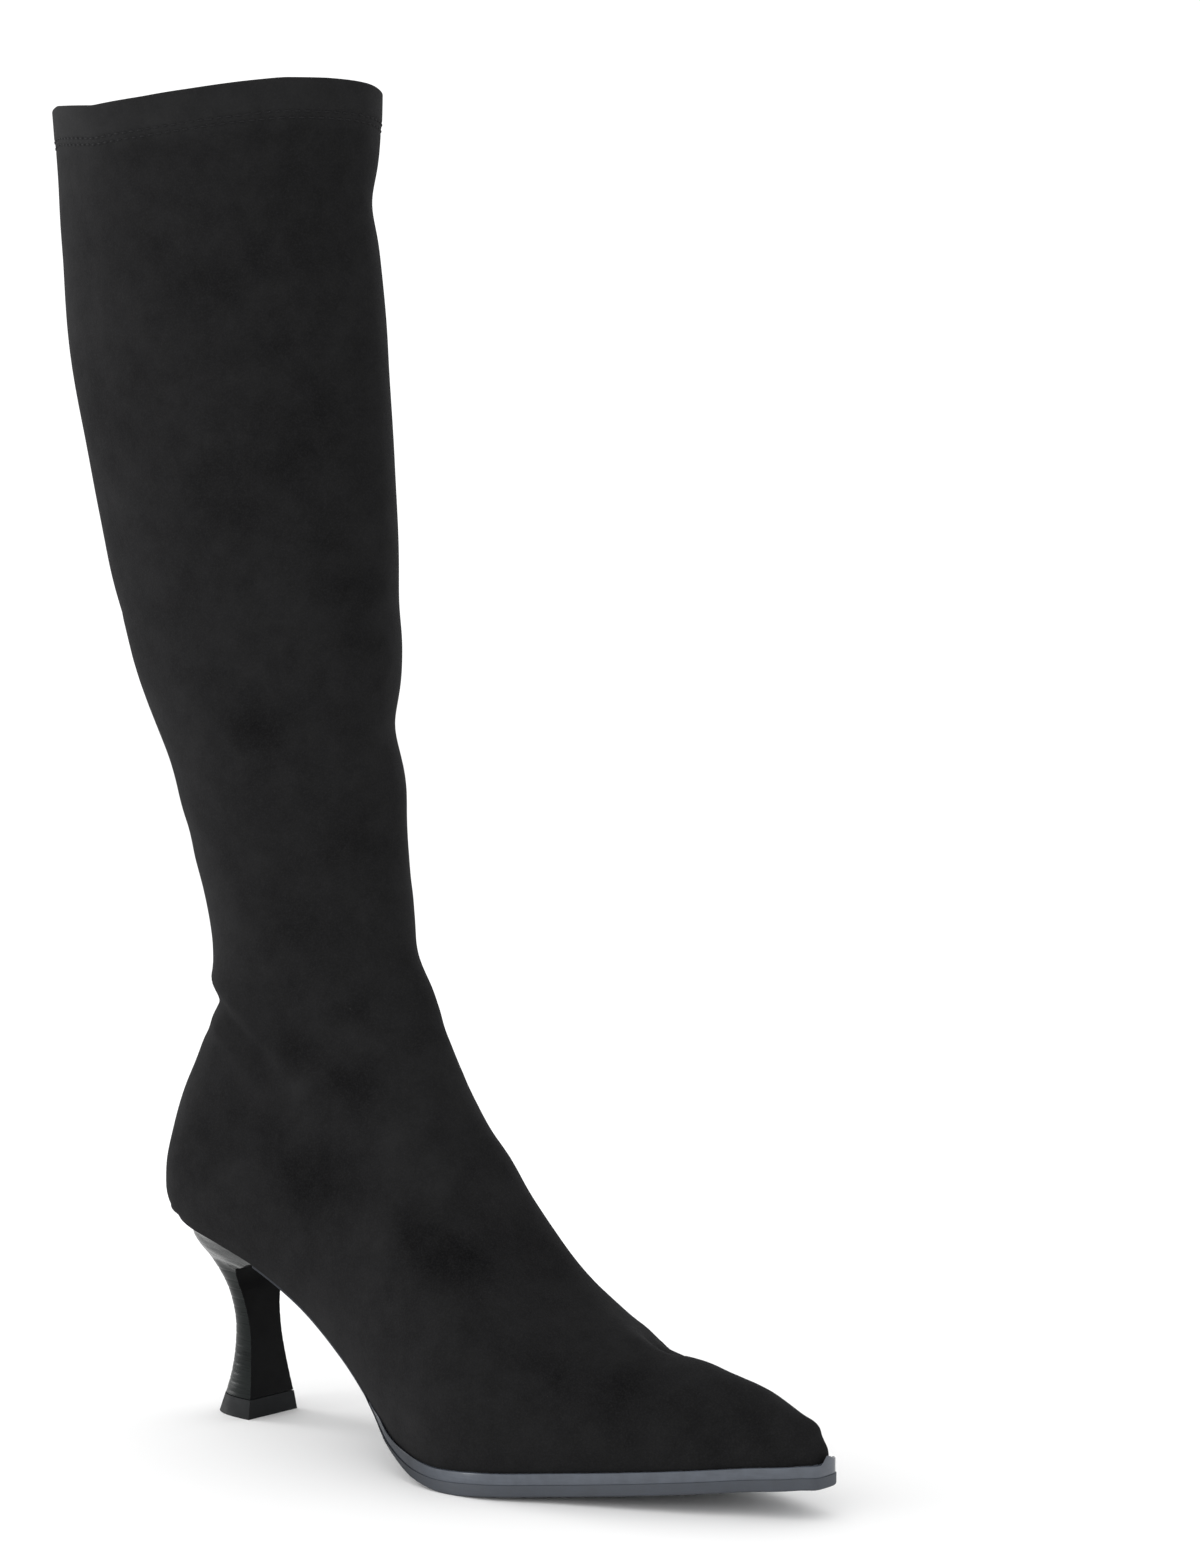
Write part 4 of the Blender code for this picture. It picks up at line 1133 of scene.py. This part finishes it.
def sole_material(name, dark, light, roughness, shine, relief, painted_shade_reach=None):
    """Moulded rubber or plastic: a fine grain, faint streaks round the edge and a little dust,
    with painted shade: dark and dull up to a place where the edge runs out at the waist, for the
    darker reflection there."""
    material, tree, place, shader = principled(name, Specular_IOR_Level=shine)
    height, mask = add_grain(tree, place, 0.5)
    streaks = stretched_noise(tree, place, (0.12, 0.12, 2.6), 1.6, 3)
    tone = weighed(tree, (mask, 0.45), (streaks, 0.55))
    colour = mixed(tree, tone, dark, light)
    # Painted shade: the edge is drawn darker and less shiny behind this place, for the darker
    # reflection there
    if painted_shade_reach:
        along = add_node(tree, "SeparateXYZ", _0=place).outputs["X"]
        ahead = spread(tree, along, *(x * MM for x in painted_shade_reach), 0.3)
        tree.links.new(weighed(tree, (ahead, shine)), shader.inputs["Specular IOR Level"])
        colour = mixed(tree, ahead, (0.014, 0.015, 0.017, 1), colour)
    colour = mixed(tree, add_dust(tree, place, 5, 0.06), colour, (0.20, 0.20, 0.20, 1))
    finish(tree, shader, colour, spread(tree, tone, 0.3, 0.7, *roughness),
           weighed(tree, (height, 0.6), (streaks, 0.4)), relief, 0.15)
    return material


welt_band.data.materials.append(sole_material(
    "glossy welt", (0.050, 0.057, 0.070, 1), (0.085, 0.097, 0.118, 1), (0.16, 0.26), 0.5, 0.25,
    PAINTED_SHADE_WAIST))
rubber_outsole.data.materials.append(sole_material(
    "matt rubber sole", (0.034, 0.038, 0.046, 1), (0.058, 0.066, 0.080, 1), (0.55, 0.75), 0.4, 0.6,
    PAINTED_SHADE_WAIST))


# ---- Heel ----------------------------------------------------------------------------------
# A spool heel turned in stacked layers and lacquered: a flared seat under the foot, a narrow
# neck and a wide foot, round at the back and cut flat at the breast.

HEEL_BREAST = 24.5         # x of the seat's front edge
SEAT_INSET = 0.3           # how far the seat lies inside the upper's edge
TOP_PIECE_HEIGHT = 6.2
# Downward: height and x at the flat breast, height and x at the round back, half the width
HEEL = (
    (54.2, 20.8, 64.6, -19.5, 22.4),
    (52.2, 15.4, 61.0, -19.1, 19.6),
    (50.7, 9.4, 57.0, -17.5, 15.5),
    (49.2, 4.9, 53.4, -15.4, 11.8),
    (45.6, 4.0, 48.4, -10.7, 10.1),
    (41.0, 5.1, 42.8, -6.8, 9.0),
    (36.0, 5.8, 37.0, -4.9, 7.9),
    (30.5, 6.7, 31.0, -3.9, 7.3),
    (25.0, 7.4, 25.0, -3.9, 7.4),
    (19.0, 8.1, 19.0, -4.4, 8.1),
    (12.8, 8.9, 12.8, -5.7, 9.0),
    (TOP_PIECE_HEIGHT + GAP, 9.7, TOP_PIECE_HEIGHT + GAP, -7.9, 10.1),
)
HEEL_ROUNDNESS = 2.4       # 2 is an ellipse; more is squarer
HEEL_STEPS = 40
HEEL_RINGS = 190
LAYER = 3.1                # thickness of each layer of the stack
LAYER_GROOVE = (0.13, 0.22)    # depth and half width
HEEL_CORNER = 0.3
BREAST_FACING = 0.2        # a face of the breast turns at least this much ahead
LAYER_LINES = (0.15, 0.15, 3.0)    # scale along x, y and z that draws noise out into lines
LACQUER = (34.0, 56.0)     # heights between which it thickens


def seat_ring():
    """The heel's seat: the sole line behind the breast, a little inside and below the upper."""
    line = with_station(SOLE_LINE, HEEL_BREAST)
    halves = []
    for points, normal in side_offsets(line):
        side = (points - normal * SEAT_INSET)[line[:, 0] <= HEEL_BREAST]
        travelled = np.append(0, np.cumsum(np.linalg.norm(np.diff(side, axis=0), axis=1)))
        even = np.linspace(0, travelled[-1], HEEL_STEPS + 1)
        x, y = (np.interp(even, travelled, values) for values in side.T)
        halves.append(np.column_stack([x, y, sole_height(x) - GAP]))
    return np.vstack([halves[0], halves[1][::-1]])


def heel_rings(rows):
    """D-shaped rings, round at the back and flat at the breast, from the outer corner to the
    inner one: a power of an ellipse whose height runs from the breast's to the back's."""
    breast_z, breast_x, back_z, back_x, half_width = rows.T[:, :, None]
    turn = np.linspace(0, np.pi / 2, HEEL_STEPS + 1)
    depth = np.sin(turn) ** (2 / HEEL_ROUNDNESS)
    width = np.clip(np.cos(turn), 0, None) ** (2 / HEEL_ROUNDNESS)
    outer = np.stack([breast_x + depth * (back_x - breast_x), -half_width * width,
                      breast_z + depth * (back_z - breast_z)], axis=-1)
    return np.concatenate([outer, (outer * (1, -1, 1))[:, ::-1]], axis=1)


def loft(name, rings, node):
    """A closed solid through rings of points, filled at both ends."""
    count, around = rings.shape[:2]
    faces = grid_faces(count, around, closed=True)
    faces += ladder_faces(list(range(around)))
    faces += ladder_faces([(count - 1) * around + k for k in range(around)])
    return new_piece(name, rings, faces, node)


def round_edges(piece, width):
    """A bevel of a width in millimetres along the sharp edges."""
    bevel = piece.modifiers.new("round edges", "BEVEL")
    bevel.width = width * MM
    bevel.segments = 3
    bevel.limit_method = "ANGLE"
    bevel.angle_limit = np.radians(SHARP)


rings = heel_rings(rows_between(np.array(HEEL), np.linspace(0, len(HEEL) - 1, HEEL_RINGS)))
outward = np.cross(np.gradient(rings, axis=1), np.gradient(rings, axis=0))
outward /= np.linalg.norm(outward, axis=-1, keepdims=True) + 1e-12
groove_depth, groove_width = LAYER_GROOVE
to_groove = (rings[..., 2] - TOP_PIECE_HEIGHT) % LAYER - LAYER / 2
rings -= outward * (groove_depth * np.exp(-(to_groove / groove_width) ** 2))[..., None]
stacked_heel = loft("stacked_heel", np.concatenate([seat_ring()[None], rings]), "heel")
round_edges(stacked_heel, HEEL_CORNER)


def heel_material():
    """Lacquered stack: each layer a slightly different black-green, with fine lines across it.
    The lacquer is thick and glossy under the seat and rubbed dull lower down."""
    material, tree, place, shader = principled(
        "lacquered stacked heel", Specular_IOR_Level=0.06, Coat_Roughness=0.2)
    height = add_node(tree, "SeparateXYZ", _0=place).outputs["Z"]
    lacquer = spread(tree, height, LACQUER[0] * MM, LACQUER[1] * MM, 0.02, 0.24)
    tree.links.new(lacquer, shader.inputs["Coat Weight"])
    layer = add_node(tree, "Math", {"operation": "SNAP"}, _0=height, _1=LAYER * MM).outputs[0]
    tone = add_node(tree, "TexWhiteNoise", {"noise_dimensions": "1D"}, W=layer).outputs["Value"]
    lines = stretched_noise(tree, place, LAYER_LINES, 1.2, 4, 0.65)
    _, mask = add_grain(tree, place, 0.6)
    share = weighed(tree, (tone, 0.45), (lines, 0.45), (mask, 0.1))
    colour = mixed(tree, share, (0.0015, 0.0025, 0.0025, 1), (0.0105, 0.013, 0.0125, 1))
    finish(tree, shader, colour, spread(tree, lines, 0.3, 0.7, 0.22, 0.38), lines, 0.3, 0.12)
    return material


def breast_material():
    """Dull black finish of the flat breast, with the layers only just showing."""
    material, tree, place, shader = principled("dull heel breast", Specular_IOR_Level=0.08)
    lines = stretched_noise(tree, place, LAYER_LINES, 1.4, 4, 0.6)
    height, mask = add_grain(tree, place, 0.6)
    tone = weighed(tree, (lines, 0.6), (mask, 0.4))
    colour = mixed(tree, tone, (0.0022, 0.0024, 0.0026, 1), (0.0058, 0.0058, 0.0062, 1))
    finish(tree, shader, colour, spread(tree, mask, 0, 1, 0.6, 0.75),
           weighed(tree, (height, 0.5), (lines, 0.5)), 0.35, 0.12)
    return material


def highlight_corner_material():
    """A painted highlight along the corners: the lacquer's colour drawn light there, and glossier.
    """
    material, tree, place, shader = principled(
        "heel corner painted highlight", Specular_IOR_Level=0.5, Roughness=0.3)
    mottle = noise(tree, place, 1.5, 3)
    finish(tree, shader, mixed(tree, mottle, (0.020, 0.023, 0.022, 1), (0.060, 0.066, 0.064, 1)))
    return material


for material in (heel_material(), breast_material(), highlight_corner_material()):
    stacked_heel.data.materials.append(material)
stacked_heel.modifiers["round edges"].material = 2    # the corner with the painted highlight
# The faces that cross from side to side at the front are the breast
facing, middles = np.empty((2, len(stacked_heel.data.polygons) * 3))
stacked_heel.data.polygons.foreach_get("normal", facing)
stacked_heel.data.polygons.foreach_get("center", middles)
on_breast = (facing[::3] > BREAST_FACING) & (np.abs(middles[1::3]) < MM)
stacked_heel.data.polygons.foreach_set("material_index", on_breast.astype(np.int32))


# ---- Heel top piece ------------------------------------------------------------------------
# A block of hard rubber pinned under the heel, wider at the floor, which takes the wear.

TOP_PIECE = np.array((
    (TOP_PIECE_HEIGHT, 9.8, TOP_PIECE_HEIGHT, -8.1, 10.3),
    (0.0, 10.2, 0.0, -10.6, 11.4),
))
TOP_PIECE_RINGS = 13
TOP_PIECE_CORNER = 0.4

share = np.linspace(0, 1, TOP_PIECE_RINGS)[:, None]
rubber_top_piece = loft("rubber_top_piece",
                        heel_rings(TOP_PIECE[0] * (1 - share) + TOP_PIECE[1] * share),
                        "heel_top_piece")
round_edges(rubber_top_piece, TOP_PIECE_CORNER)
rubber_top_piece.data.materials.append(sole_material(
    "hard rubber top piece", (0.007, 0.008, 0.009, 1), (0.014, 0.015, 0.016, 1), (0.55, 0.75),
    0.12, 0.4))


# ---- Floor, light and camera ---------------------------------------------------------------
# A plain pale floor that runs into an even white surround, a large soft light behind the heel, a
# weaker upright strip at the outer side, and a long lens at two thirds of the boot's height.

FLOOR_RADII = (50.0, 6000.0)   # its first ring and its edge
FLOOR_RINGS = 24
FLOOR_SIDES = 96

radius = np.append(0, np.geomspace(*FLOOR_RADII, FLOOR_RINGS))[:, None]
turn = np.linspace(0, 2 * np.pi, FLOOR_SIDES + 1)[None, :-1]
floor_points = np.stack([radius * np.cos(turn), radius * np.sin(turn), 0 * radius * turn], axis=-1)
floor_faces = grid_faces(FLOOR_RINGS + 1, FLOOR_SIDES, closed=True)
floor_mesh = bpy.data.meshes.new("floor")
floor_mesh.from_pydata((floor_points.reshape(-1, 3) * MM).tolist(), [], floor_faces)
floor = bpy.data.objects.new("floor", floor_mesh)
bpy.context.scene.collection.objects.link(floor)
floor_material, tree, place, shader = principled(
    "pale floor", Roughness=0.8, Specular_IOR_Level=0.1)
shade = spread(tree, noise(tree, place, 400), 0.3, 0.7)
finish(tree, shader, mixed(tree, shade, (0.90, 0.90, 0.90, 1), (0.93, 0.93, 0.93, 1)))
floor_mesh.materials.append(floor_material)

world = bpy.data.worlds.new("white surround")
world.use_nodes = True
surround = world.node_tree.nodes["Background"].inputs
surround["Color"].default_value = (1, 1, 1, 1)
surround["Strength"].default_value = 1.15
bpy.context.scene.world = world
bpy.context.scene.view_settings.view_transform = "Standard"


def soft_light(name, place, aim, size, watts):
    """A rectangular area light at a place, turned towards an aim, in millimetres."""
    light = bpy.data.lights.new(name, "AREA")
    light.shape = "RECTANGLE"
    light.size, light.size_y = (side * MM for side in size)
    light.energy = watts
    lamp = bpy.data.objects.new(name, light)
    lamp.location = np.array(place) * MM
    heading = (np.array(aim) - np.array(place)).tolist()
    lamp.rotation_euler = Vector(heading).to_track_quat("-Z", "Y").to_euler()
    bpy.context.scene.collection.objects.link(lamp)


soft_light("key", (-1500, -260, 500), (20, 0, 220), (600, 1200), 13)
soft_light("strip", (-430, -1440, 250), (60, 0, 100), (80, 500), 6)

CAMERA_PLACE = (893.16, -891.03, 286.95)
CAMERA_TURN = 39.8         # degrees from looking along +Y
CAMERA_TILT = 3.53         # downward
LENS = 88.38
SENSOR = 36.0

camera = bpy.data.cameras.new("camera")
camera.lens = LENS
camera.sensor_width = SENSOR
camera_object = bpy.data.objects.new("camera", camera)
camera_object.location = np.array(CAMERA_PLACE) * MM
camera_object.rotation_euler = np.radians((90 - CAMERA_TILT, 0, CAMERA_TURN))
bpy.context.scene.collection.objects.link(camera_object)
bpy.context.scene.camera = camera_object
